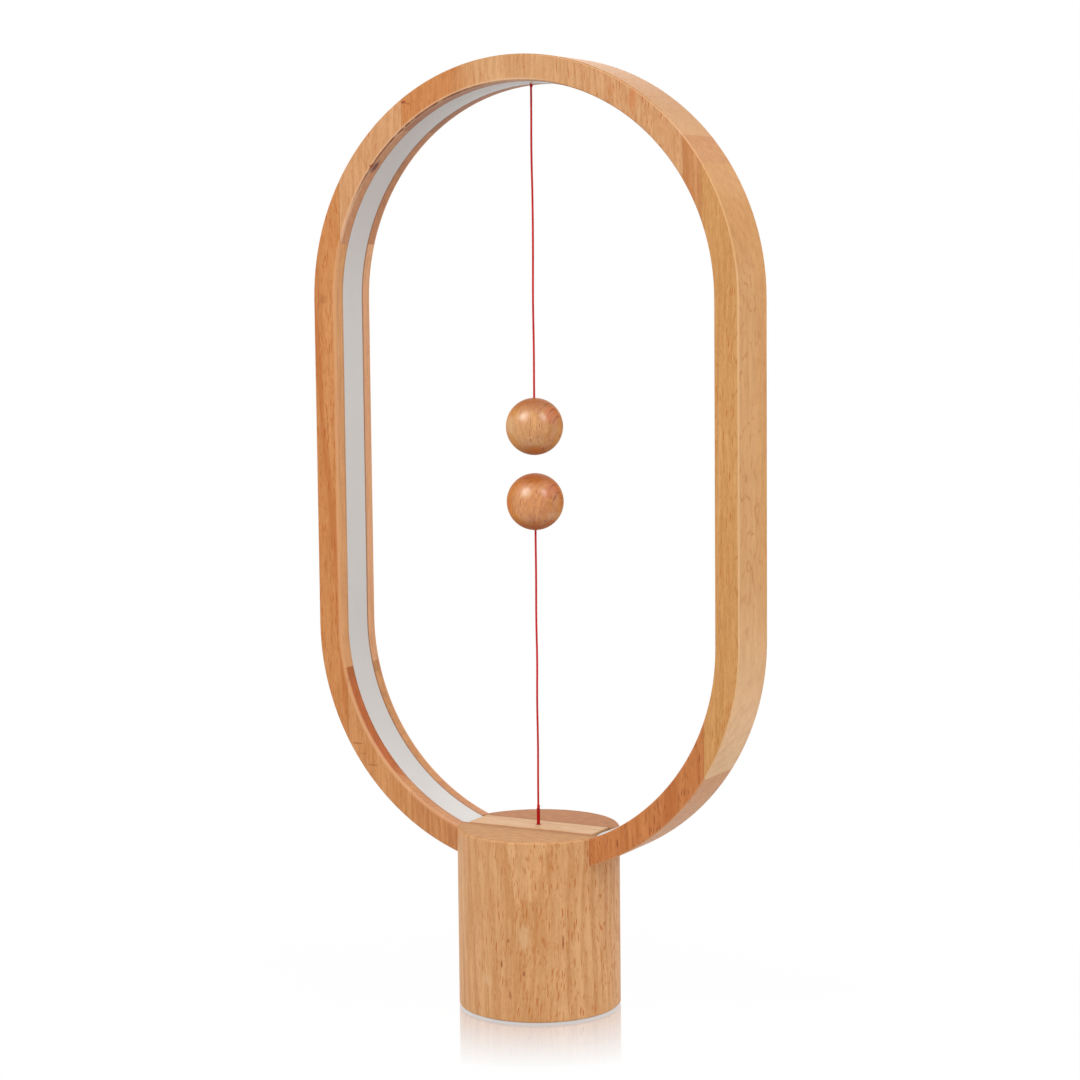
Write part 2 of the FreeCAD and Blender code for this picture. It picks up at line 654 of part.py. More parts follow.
def make_slot_infills():
    """Cheeks that close the slot over the ring's lips, and the wooden strip between them."""
    for name, side in (("front_infill", -1), ("rear_infill", 1)):
        blank = turned(name + "_blank", base_outline())
        inner, outer = "Places.half_groove", "Places.half_depth"
        near, far = (f"-{outer}", f"-{inner}") if side < 0 else (inner, outer)
        slab = box(
            name + "_slab",
            (f"-Places.base_radius - {PAST}", near, "Places.cavity_roof"),
            (f"Places.base_radius + {PAST}", far, f"Sizes.base_height + {PAST}"),
        )
        bed = lying_rod(
            name + "_bed", "Places.inner_radius", "-Sizes.ring_depth", "Sizes.ring_depth",
            "0", "Places.lower_centre",
        )
        slice_of_base = common(name + "_slice", blank, slab)
        keep(name, common(name, slice_of_base, bed))

    body = new_body("strip_block")
    sketch = new_sketch(body, "XY_Plane", "Places.ring_underside")
    half, wide = "Sizes.strip_half_length", "Places.half_groove - Sizes.diffuser_side_gap"
    draw_polygon(sketch, [(f"-{half}", f"-({wide})"), (half, f"-({wide})"), (half, wide), (f"-{half}", wide)])
    block = extrude(body, "Pad", sketch, "Places.strip_top - Places.ring_underside", middle=False)

    def on_top(edge):
        return edge.BoundBox.ZMin > places.strip_top - 0.01

    ease_edges(body, "Fillet", "Radius", block, "Sizes.strip_edge_round", on_top)
    bed = lying_rod(
        "strip_bed", "Places.diffuser_back_radius", "-Sizes.ring_depth", "Sizes.ring_depth",
        "0", "Places.lower_centre",
    )
    strip = common("strip_on_bed", body, bed)
    hole = rod("string_hole", "Sizes.strip_hole / 2", "Places.ring_underside", f"Places.strip_top + {PAST}")
    keep("string_strip", cut("string_strip", strip, hole))


# ---------------------------------------------------------------- cover and electronics


def post_places():
    across = "Sizes.board_length / 2 - Sizes.post_inset"
    deep = "Sizes.board_width / 2 - Sizes.post_inset"
    return [(f"{i} * ({across})", f"{j} * ({deep})") for i in (1, -1) for j in (1, -1)]


def make_cover():
    disc = rod("cover_disc", "Places.cover_radius", "Sizes.pad_thickness", "Places.cover_top")
    posts = [
        rod(f"post_{i}", "Sizes.post_diameter / 2", "Sizes.pad_thickness", "Places.board_underside", *spot)
        for i, spot in enumerate(post_places())
    ]
    solid = fuse("cover_with_posts", disc, *posts)
    tools = []
    for i, spot in enumerate(post_places()):
        tools.append(
            rod(
                f"post_bore_{i}",
                "Sizes.board_screw_diameter / 2 + Sizes.screw_play",
                f"Sizes.board_top - Sizes.board_screw_length - {PAST}",
                "Sizes.board_top",
                *spot,
            )
        )
    for i, spot in enumerate(cover_screw_places()):
        tools.append(countersunk_screw(f"countersink_{i}", "Sizes.screw_play", spot))
    keep("base_cover", cut("base_cover", solid, *tools))

    pad = rod("pad_disc", "Places.cover_radius - Sizes.pad_inset", "0", "Sizes.pad_thickness")
    keep("foot_pad", pad)
    screws = [countersunk_screw(f"cover_screw_{i}", "0", spot) for i, spot in enumerate(cover_screw_places())]
    keep("cover_screws", fuse("cover_screws", *screws))


def countersunk_screw(label, play, spot):
    """A screw driven from below, or its hole when play is more than nothing."""
    start = "Sizes.pad_thickness"
    shank = rod(
        label + "_shank",
        f"Sizes.cover_screw_diameter / 2 + {play}",
        start,
        f"{start} + Sizes.cover_screw_length",
        *spot,
    )
    head = doc.addObject("Part::Cone", label + "_head")
    head.setExpression("Radius1", f"Sizes.cover_screw_head / 2 + {play}")
    head.setExpression("Radius2", f"Sizes.cover_screw_diameter / 2 + {play}")
    head.setExpression("Height", "(Sizes.cover_screw_head - Sizes.cover_screw_diameter) / 2")
    put(head, spot[0], spot[1], start)
    return fuse(label, shank, head)


def make_board():
    half, wide = "Sizes.board_length / 2", "Sizes.board_width / 2"
    plate = box(
        "board_plate",
        (f"-{half}", f"-{wide}", "Places.board_underside"),
        (half, wide, "Sizes.board_top"),
    )
    bores = [
        rod(
            f"board_bore_{i}", "Sizes.board_screw_diameter / 2 + Sizes.screw_play",
            f"Places.board_underside - {PAST}", f"Sizes.board_top + {PAST}", *spot,
        )
        for i, spot in enumerate(post_places())
    ]
    keep("driver_board", cut("driver_board", plate, *bores))

    screws = []
    for i, spot in enumerate(post_places()):
        shank = rod(
            f"board_shank_{i}", "Sizes.board_screw_diameter / 2",
            "Sizes.board_top - Sizes.board_screw_length", "Sizes.board_top", *spot,
        )
        head = rod(
            f"board_head_{i}", "Sizes.board_screw_head / 2", "Sizes.board_top",
            "Sizes.board_top + Sizes.board_screw_head_height", *spot,
        )
        screws.append(fuse(f"board_screw_{i}", shank, head))
    keep("board_screws", fuse("board_screws", *screws))

    top, row, step = "Sizes.board_top", "-Sizes.component_row", "Sizes.component_spacing"
    capacitor = rod(
        "capacitor", "Sizes.capacitor_diameter / 2", top, f"{top} + Sizes.capacitor_height", f"-{step}", row
    )
    choke = rod("choke", "Sizes.choke_diameter / 2", top, f"{top} + Sizes.choke_height", "0", row)
    half_chip, half_wide = "Sizes.driver_chip_length / 2", "Sizes.driver_chip_width / 2"
    chip = box(
        "driver_chip",
        (f"{step} - {half_chip}", f"{row} - {half_wide}", top),
        (f"{step} + {half_chip}", f"{row} + {half_wide}", f"{top} + Sizes.driver_chip_height"),
    )
    components = doc.addObject("Part::Compound", "board_components")
    components.Links = [capacitor, choke, chip]
    keep("board_components", components)


def make_microswitch():
    half = "Sizes.switch_width / 2"
    case = box(
        "switch_case",
        ("-Sizes.switch_overhang", f"-{half}", "Sizes.board_top"),
        ("Places.switch_end", half, "Places.switch_top"),
    )
    axle_radius = "Sizes.axle_diameter / 2"
    lugs = []
    for name, side in (("front", -1), ("rear", 1)):
        ends = (f"-{half}", f"-{half} + Sizes.lug_thickness")
        if side > 0:
            ends = (f"{half} - Sizes.lug_thickness", half)
        lugs.append(
            box(
                f"{name}_lug",
                ("Places.pivot_across - Sizes.lever_pivot_inset", ends[0], "Sizes.board_top"),
                ("Places.switch_end", ends[1], "Places.pivot_up + Sizes.lever_pivot_rise"),
            )
        )
    tools = [
        lying_rod(
            "axle_holes", f"{axle_radius} + Sizes.axle_play",
            f"-{half} + Sizes.axle_hole_skin", f"{half} - Sizes.axle_hole_skin",
            "Places.pivot_across", "Places.pivot_up",
        ),
        rod(
            "button_bore", "Sizes.button_diameter / 2 + Sizes.button_play",
            "Places.switch_top - Sizes.button_bore_depth", f"Places.switch_top + {PAST}",
            "Places.button_across",
        ),
    ]
    keep("microswitch", cut("microswitch", fuse("switch_with_lugs", case, *lugs), *tools))
    button = rod(
        "button", "Sizes.button_diameter / 2", "Places.button_top - Sizes.button_length",
        "Places.button_top", "Places.button_across",
    )
    keep("switch_button", button)

    body = new_body("lever_sheet")
    sketch = new_sketch(body, "XZ_Plane")
    half_sheet = "Sizes.lever_thickness / 2"
    draw_polygon(
        sketch,
        [
            ("-Sizes.lever_overhang", f"Places.lever_tip_up - {half_sheet}"),
            ("Places.pivot_across", f"Places.pivot_up - {half_sheet}"),
            ("Places.pivot_across", f"Places.pivot_up + {half_sheet}"),
            ("-Sizes.lever_overhang", f"Places.lever_tip_up + {half_sheet}"),
        ],
    )
    extrude(body, "Pad", sketch, "Sizes.lever_width")
    reach = f"{half} - Sizes.axle_hole_skin - Sizes.contact_gap"
    pivot = ("Places.pivot_across", "Places.pivot_up")
    axle = lying_rod("lever_axle", axle_radius, f"-({reach})", reach, *pivot)
    keep("switch_lever", fuse("switch_lever", body, axle))


def round_block(label, width, rise, front, rear):
    """A lying block with round ends, at the height of the inlet."""
    half_rise = f"({rise}) / 2"
    straight = f"(({width}) / 2 - {half_rise})"
    block = box(
        label + "_block",
        (f"-{straight}", front, f"Sizes.inlet_height - {half_rise}"),
        (straight, rear, f"Sizes.inlet_height + {half_rise}"),
    )
    ends = [
        lying_rod(f"{label}_{name}", half_rise, front, rear, f"{sign}{straight}", "Sizes.inlet_height")
        for name, sign in (("left", "-"), ("right", ""))
    ]
    return fuse(label, block, *ends)


def insert_hole():
    """The hole through the base's wall that the inlet's insert is pressed into."""
    return round_block(
        "insert_hole", "Sizes.inlet_width", "Sizes.inlet_rise",
        "Sizes.cavity_diameter / 2 - Sizes.inlet_length / 2", f"Places.base_radius + {PAST}",
    )


def make_inlet():
    """A plastic insert in the rear of the base, with the socket's shell and tongue in it."""
    face = "Places.inlet_face"
    back = f"{face} - Sizes.inlet_length"
    mouth = f"{face} - Sizes.socket_sink"
    seat = f"{mouth} - Sizes.socket_length"
    wide, rise, wall = "Sizes.socket_width", "Sizes.socket_rise", "Sizes.socket_wall"
    insert = round_block("insert_block", "Sizes.inlet_width", "Sizes.inlet_rise", back, face)
    opening = round_block("insert_opening", wide, rise, f"{back} - {PAST}", f"{face} + {PAST}")
    keep("inlet_insert", cut("inlet_insert", insert, opening))

    shell = round_block("shell_outside", wide, rise, seat, mouth)
    floor = f"{seat} + Sizes.socket_floor"
    inside = (f"{wide} - 2 * {wall}", f"{rise} - 2 * {wall}")
    bore = round_block("shell_inside", *inside, floor, f"{mouth} + {PAST}")
    keep("inlet_shell", cut("inlet_shell", shell, bore))
    half, thin = "Sizes.tongue_width / 2", "Sizes.tongue_thickness / 2"
    tongue = box(
        "tongue_plate",
        (f"-{half}", floor, f"Sizes.inlet_height - {thin}"),
        (half, f"{floor} + Sizes.tongue_length", f"Sizes.inlet_height + {thin}"),
    )
    keep("inlet_tongue", tongue)


# ---------------------------------------------------------------- leads


def cord_solid(points, radius):
    """A round cord along straight runs that are joined by tangent arcs."""
    edges, start, radii = [], points[0], []
    for before, corner, after in zip(points, points[1:], points[2:]):
        back, ahead = before - corner, after - corner
        trim = 0.45 * min(back.Length, ahead.Length)
        turn = math.pi - back.getAngle(ahead)
        bend = trim / math.tan(turn / 2)
        radii.append(bend)
        first = corner + back.normalize() * trim
        last = corner + ahead.normalize() * trim
        inward = (back + ahead).normalize()
        reach = bend / math.cos(turn / 2) - bend
        middle = corner + inward * reach
        edges.append(Part.LineSegment(start, first).toShape())
        edges.append(Part.Arc(first, middle, last).toShape())
        start = last
    edges.append(Part.LineSegment(start, points[-1]).toShape())
    path = Part.Wire(edges)
    section = Part.Wire([Part.Circle(points[0], points[1] - points[0], radius).toShape()])
    solid = path.makePipeShell([section], True, False)
    expected = math.pi * radius**2 * path.Length
    share = solid.Volume / expected
    print("lead bends", [round(value, 1) for value in radii], "volume share", round(share, 3))
    return solid


def keep_leads(name, beside, route):
    """Two like leads along one route of (across, deep, up) points, half a spacing apart from it."""
    radius, half = sizes.lead_diameter / 2, sizes.lead_spacing / 2
    pair = []
    for shift in (beside * -half, beside * half):
        pair.append(cord_solid([Vector(*point) + shift for point in route], radius))
    group = doc.addObject("Part::Feature", name)
    group.Shape = Part.makeCompound(pair)
    keep(name, group)


def make_leads():
    """Inner leads: from the board to the light strip, and from the inlet to the board."""
    across, radius = places.leads_across, sizes.lead_diameter / 2
    flex_face = places.lower_centre - math.sqrt(places.flex_front_radius**2 - sizes.flex_end**2)
    soldered = flex_face + radius + sizes.contact_gap
    keep_leads(
        "light_leads",
        Vector(0, 1, 0),
        [
            (5 - across, 0, sizes.board_top),
            (5 - across, 0, sizes.board_top + 12),
            (-across, 0, sizes.board_top + 24),
            (-across, 0, soldered - 3),
            (-across - 1.5, 0, soldered),
            (-across - 5, 0, soldered + 1.4),
        ],
    )
    seat = places.inlet_face - sizes.socket_sink - sizes.socket_length
    under_board = places.board_underside - sizes.contact_gap
    keep_leads(
        "inlet_leads",
        Vector(1, 0, 0),
        [
            (0, seat, sizes.inlet_height),
            (0, seat - 5, sizes.inlet_height),
            (0, seat - 9.5, under_board - 5.3),
            (0, seat - 12.6, under_board - 3.1),
            (0, seat - 13.1, under_board),
        ],
    )


# ---------------------------------------------------------------- switch mechanism


def make_pull():
    """Guide bush, slider with its sleeve, and the spring that draws it down."""
    bore, tube, flange = "Places.bush_bore", "Sizes.bush_outside / 2", "Sizes.bush_flange / 2"
    keep(
        "guide_bush",
        turned(
            "guide_bush",
            [
                (bore, "Places.bush_underside"),
                (flange, "Places.bush_underside"),
                (flange, "Places.cavity_roof"),
                (tube, "Places.cavity_roof"),
                (tube, "Places.bush_top"),
                (bore, "Places.bush_top"),
            ],
        ),
    )
    rod_radius, collar = "Sizes.slider_diameter / 2", "Sizes.collar_diameter / 2"
    seat, sleeve = "Sizes.seat_diameter / 2", "Sizes.sleeve_diameter / 2"
    keep(
        "pull_slider",
        turned(
            "pull_slider",
            [
                ("0", "Places.nose_tip"),
                (rod_radius, "Places.nose_tip"),
                (rod_radius, "Places.seat_underside"),
                (seat, "Places.seat_underside"),
                (seat, "Places.seat_top"),
                (rod_radius, "Places.seat_top"),
                (rod_radius, "Places.collar_top - Sizes.collar_height"),
                (collar, "Places.collar_top - Sizes.collar_height"),
                (collar, "Places.collar_top"),
                (rod_radius, "Places.collar_top"),
                (rod_radius, "Places.slider_top"),
                ("0", "Places.slider_top"),
            ],
        ),
    )
    keep("lower_string_sleeve", rod("sleeve", sleeve, "Places.slider_top", "Places.sleeve_top"))
    make_return_spring()


def make_return_spring():
    body = new_body("return_spring")
    sketch = new_sketch(body, "XZ_Plane")
    wire = "Sizes.spring_wire / 2"
    draw_circle(sketch, "Sizes.spring_mean_diameter / 2", f"Places.seat_top + {wire}", wire)
    helix = body.newObject("PartDesign::AdditiveHelix", "spring_coil")
    helix.Profile = sketch
    helix.ReferenceAxis = (sketch, ["V_Axis"])
    helix.Mode = "height-turns-angle"
    helix.setExpression("Height", "Places.bush_underside - Places.seat_top - Sizes.spring_wire")
    helix.setExpression("Turns", "Sizes.spring_turns")
    keep("return_spring", body)


# ---------------------------------------------------------------- strings and balls


def make_ball(name, height, facing):
    """A ball, bored from its string side, with a magnet, a plug and facing up or down."""
    radius, magnet = "Places.ball_radius", "Sizes.magnet_height"
    face = f"{height} + {facing} * ({radius} - Sizes.ball_skin)"
    step = f"{face} - {facing} * {magnet}"
    outside = f"{height} - {facing} * ({radius} + {PAST})"

    def between(label, size, start, end):
        low, high = (end, start) if facing > 0 else (start, end)
        return rod(label, size, low, high)

    bore = between(name + "_bore", "Sizes.ball_bore / 2", face, outside)
    keep(name + "_ball", cut(name + "_ball", ball(name + "_sphere", radius, height), bore))
    keep(name + "_magnet", between(name + "_magnet", "Sizes.magnet_diameter / 2", face, step))
    core = between(name + "_core", "Sizes.ball_bore / 2", step, outside)
    rounded = common(name + "_plug_blank", core, ball(name + "_plug_sphere", radius, height))
    hole = between(name + "_plug_hole", "Sizes.plug_hole / 2", step, outside)
    keep(name + "_ball_plug", cut(name + "_ball_plug", rounded, hole))


def make_strings():
    clear = "Places.knot_radius + Sizes.knot_gap"
    thread = "Sizes.string_diameter / 2"
    keep(
        "upper_string_anchor",
        rod(
            "anchor", "Sizes.anchor_diameter / 2", "Places.anchor_underside",
            "Places.upper_centre + Places.groove_radius + Sizes.anchor_depth",
        ),
    )
    in_upper = "Sizes.upper_ball_height + Places.ball_radius - Sizes.string_in_plug"
    in_lower = "Places.lower_ball_height - Places.ball_radius + Sizes.string_in_plug"
    keep("upper_knot", ball("upper_knot", "Places.knot_radius", "Places.upper_pivot"))
    keep("lower_knot", ball("lower_knot", "Places.knot_radius", "Places.lower_pivot"))
    keep("upper_string", rod("upper_thread", thread, in_upper, f"Places.upper_pivot - ({clear})"))
    keep("lower_string", rod("lower_thread", thread, f"Places.lower_pivot + {clear}", in_lower))
    make_ball("upper", "Sizes.upper_ball_height", -1)
    make_ball("lower", "Places.lower_ball_height", 1)


# ---------------------------------------------------------------- build, check and write


def faults():
    found = []
    for item in doc.Objects:
        if "Invalid" in item.State or "Error" in item.State:
            found.append(f"{item.Label}: {item.State}")
    for name, item in nodes.items():
        shape = item.Shape
        if shape.isNull() or not shape.isValid() or shape.Volume <= 0:
            found.append(f"{name}: no valid solid")
    return found


sizes = make_sizes()
places = make_places()
make_ring()
make_diffuser()
make_light_strip()
make_base()
make_slot_infills()
make_cover()
make_board()
make_microswitch()
make_inlet()
make_leads()
make_pull()
make_strings()
doc.recompute()

problems = faults()
if problems:
    raise RuntimeError("; ".join(problems))
os.makedirs("parts", exist_ok=True)
for name, item in nodes.items():
    item.Shape.exportStep(f"parts/{name}.step")
    extent = item.Shape.optimalBoundingBox(False)
    print(
        f"{name}: {len(item.Shape.Solids)} solid(s), {item.Shape.Volume:.1f} mm3,"
        f" z {extent.ZMin:.2f} to {extent.ZMax:.2f}"
    )
print(len(nodes), "nodes")
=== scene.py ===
"""Finishes the balance lamp: beech ring and base, hanging balls, red strings and the parts
inside. Every piece stands in the row frame of the CAD model, in metres."""

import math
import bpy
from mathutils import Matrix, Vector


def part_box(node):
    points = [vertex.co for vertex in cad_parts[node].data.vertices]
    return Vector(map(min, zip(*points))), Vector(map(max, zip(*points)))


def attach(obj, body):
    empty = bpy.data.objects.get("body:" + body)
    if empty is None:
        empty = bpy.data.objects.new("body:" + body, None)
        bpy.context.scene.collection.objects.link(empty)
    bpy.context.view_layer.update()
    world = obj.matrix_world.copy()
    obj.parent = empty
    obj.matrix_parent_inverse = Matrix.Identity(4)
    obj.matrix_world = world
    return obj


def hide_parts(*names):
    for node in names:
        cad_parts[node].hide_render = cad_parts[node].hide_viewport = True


bl_info = {
    "name": "Balance lamp",
    "version": (1, 0, 0),
    "blender": (4, 5, 0),
    "location": "View3D > Sidebar > Balance lamp",
    "description": "Finishes and stages the balance lamp on its CAD model",
    "category": "Object",
}

import bmesh
import bpy
from bpy.props import FloatProperty, FloatVectorProperty, IntProperty, PointerProperty
from mathutils import Matrix, Vector

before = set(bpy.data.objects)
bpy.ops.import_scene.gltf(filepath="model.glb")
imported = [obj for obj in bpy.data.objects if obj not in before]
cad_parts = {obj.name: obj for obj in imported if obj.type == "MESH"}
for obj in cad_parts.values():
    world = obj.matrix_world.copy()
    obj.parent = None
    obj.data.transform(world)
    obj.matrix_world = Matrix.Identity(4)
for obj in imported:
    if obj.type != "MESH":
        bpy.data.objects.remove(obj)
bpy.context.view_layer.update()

MM = 0.001


def end_of(node, corner, axis):
    """Where a CAD node ends along an axis, in millimetres; corner is 0 for low, 1 for high."""
    return round(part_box(node)[corner][axis] / MM, 1)


# Sizes that the patterns follow, in millimetres.
OUTER_RADIUS = end_of("ring_right_side", 1, 0)
INNER_RADIUS = OUTER_RADIUS - 10.8  # less the ring's wall
HALF_DEPTH = end_of("ring_right_side", 1, 1)
LOWER_CENTRE = end_of("ring_bottom_middle", 0, 2) + OUTER_RADIUS
UPPER_CENTRE = end_of("ring_top_middle", 1, 2) - OUTER_RADIUS
GROOVE_HALF = -end_of("front_infill", 1, 1)
BASE_RADIUS, BASE_TOP = end_of("base_body", 1, 0), end_of("base_body", 1, 2)
FRONT_FACE = (-HALF_DEPTH + 0.4, -HALF_DEPTH + 0.8)  # where a mark on the front fades, along Y
BALL_FRONT = (0.0, 3.0)  # the same on a ball


# ---- shader helpers


class Signal:
    """A shader socket. Sums written with it add Math nodes to its material."""

    def __init__(self, finish, socket):
        self.finish = finish
        self.socket = socket

    def maths(self, operation, *others, first=None):
        """A Math node on this socket and others, or on first and this socket."""
        values = (self,) + others if first is None else (first, self)
        return self.finish.node("ShaderNodeMath", {"operation": operation}, dict(enumerate(values)))

    def __add__(self, other):
        return self.maths("ADD", other)

    def __sub__(self, other):
        return self.maths("SUBTRACT", other)

    def __mul__(self, other):
        return self.maths("MULTIPLY", other)

    def __truediv__(self, other):
        return self.maths("DIVIDE", other)

    def __rsub__(self, other):
        return self.maths("SUBTRACT", first=other)

    __radd__ = __add__
    __rmul__ = __mul__

    def beside(self, name):
        """Another output of the node that this one comes from."""
        return Signal(self.finish, self.socket.node.outputs[name])

    def rises(self, low, high):
        """0 below low, 1 above high, and a smooth step between."""
        sockets = {"Value": self, "From Min": low, "From Max": high}
        smooth = {"interpolation_type": "SMOOTHSTEP"}
        return self.finish.node("ShaderNodeMapRange", smooth, sockets)


def hypot(across, deep):
    """Distance from an axis."""
    return (across * across + deep * deep).maths("SQRT")


class Nodes:
    """The node tree of a material or of the world."""

    def __init__(self, owner):
        owner.use_nodes = True
        self.tree = owner.node_tree
        self.tree.nodes.clear()

    def node(self, kind, settings=None, sockets=None, out=0):
        """A new node with these settings and socket values or links, and one of its outputs."""
        made = self.tree.nodes.new(kind)
        for name, value in (settings or {}).items():
            setattr(made, name, value)
        for key, value in (sockets or {}).items():
            socket = made.inputs[key]
            if isinstance(value, Signal):
                self.tree.links.new(value.socket, socket)
            else:
                socket.default_value = value
        return Signal(self, made.outputs[out]) if len(made.outputs) else None

    def seen(self):
        """1 for what the camera, glass or a mirror sees, and 0 for light on the object."""
        camera = self.node("ShaderNodeLightPath", out="Is Camera Ray")
        glossy = camera.beside("Is Glossy Ray")
        through = camera.beside("Is Transmission Ray")
        return camera.maths("MAXIMUM", glossy).maths("MAXIMUM", through)


class Finish(Nodes):
    """A material in the making, with its Object coordinates in millimetres.

    x, y and z are the place on the object, and grain is the place in the board or sheet.
    """

    def __init__(self, name, shift=(0, 0, 0), turn=(0, 0, 0)):
        self.material = bpy.data.materials.new(name)
        super().__init__(self.material)
        self.x, self.y, self.z = self.place((0, 0, 0), (0, 0, 0))
        self.grain = self.place(shift, turn)

    def place(self, shift, turn):
        """The X, Y and Z of Object coordinates, in millimetres, moved and turned."""
        sockets = {
            "Vector": self.node("ShaderNodeTexCoord", out="Object"),
            "Location": shift,
            "Rotation": [math.radians(angle) for angle in turn],
            "Scale": (1 / MM, 1 / MM, 1 / MM),
        }
        mapped = self.node("ShaderNodeMapping", {}, sockets)
        return [self.node("ShaderNodeSeparateXYZ", {}, {0: mapped}, axis) for axis in range(3)]

    def stretched(self, sizes, where=None):
        """Coordinates divided by a size in millimetres along each axis."""
        values = {i: axis / size for i, (axis, size) in enumerate(zip(where or self.grain, sizes))}
        return self.node("ShaderNodeCombineXYZ", {}, values)

    def noise(self, sizes, detail=2.0, roughness=0.5):
        """Noise from -1 to 1, or nearly, whose blotches have these sizes in millimetres."""
        sockets = {
            "Vector": self.stretched(sizes), "Scale": 1.0, "Detail": detail, "Roughness": roughness,
        }
        return (self.node("ShaderNodeTexNoise", {}, sockets) - 0.5) * 2.0

    def cells(self, sizes, where=None):
        """Distance to the middle of the nearest cell, and a random number for that cell."""
        sockets = {"Vector": self.stretched(sizes, where), "Scale": 1.0}
        distance = self.node("ShaderNodeTexVoronoi", {}, sockets, "Distance")
        return distance, self.node("ShaderNodeSeparateColor", {}, {0: distance.beside("Color")})

    def mix(self, factor, first, second, blend="MIX"):
        """The second colour over the first, as far as factor says."""
        settings = {"data_type": "RGBA", "blend_type": blend, "clamp_factor": True}
        return self.node("ShaderNodeMix", settings, {0: factor, 6: first, 7: second}, 2)

    def cloud(self, noise, first, second):
        """Two colours, blended by noise of -1 to 1."""
        return self.mix(0.5 + noise * 0.5, first, second)

    def surface(self, colour, roughness, height=None, depth=0.00005, strength=1.0, **others):
        """The Principled shader; height is a pattern from -1 to 1 that is depth metres deep,
        and others are further sockets."""
        values = {"Base Color": colour, "Roughness": roughness}
        values.update({name.replace("_", " "): value for name, value in others.items()})
        if height is not None:
            sockets = {"Height": height, "Distance": depth, "Strength": strength}
            values["Normal"] = self.node("ShaderNodeBump", {}, sockets)
        shader = self.node("ShaderNodeBsdfPrincipled", {}, values)
        self.node("ShaderNodeOutputMaterial", {}, {"Surface": shader})
        return self.material


def rgb(red, green, blue):
    """A shader colour from sRGB values of 0 to 255."""
    parts = [value / 255 for value in (red, green, blue)]
    linear = [v / 12.92 if v <= 0.04045 else ((v + 0.055) / 1.055) ** 2.4 for v in parts]
    return (*linear, 1.0)


def scaled(colour, *factors):
    """A colour times one factor, or times one for each channel."""
    if len(factors) == 1:
        factors = factors * 3
    return (*(min(1.0, value * factor) for value, factor in zip(colour, factors)), 1.0)


# ---- materials


# The marks in the wood: a tone, and the size of their ragged outline in millimetres. On the balls
# the pale tone also paints highlights.
WARM_MARK = (rgb(204, 112, 52), 3.0)
PALE_MARK = (rgb(226, 186, 142), 2.0)
DARK_MARK = (rgb(146, 62, 26), 1.1)


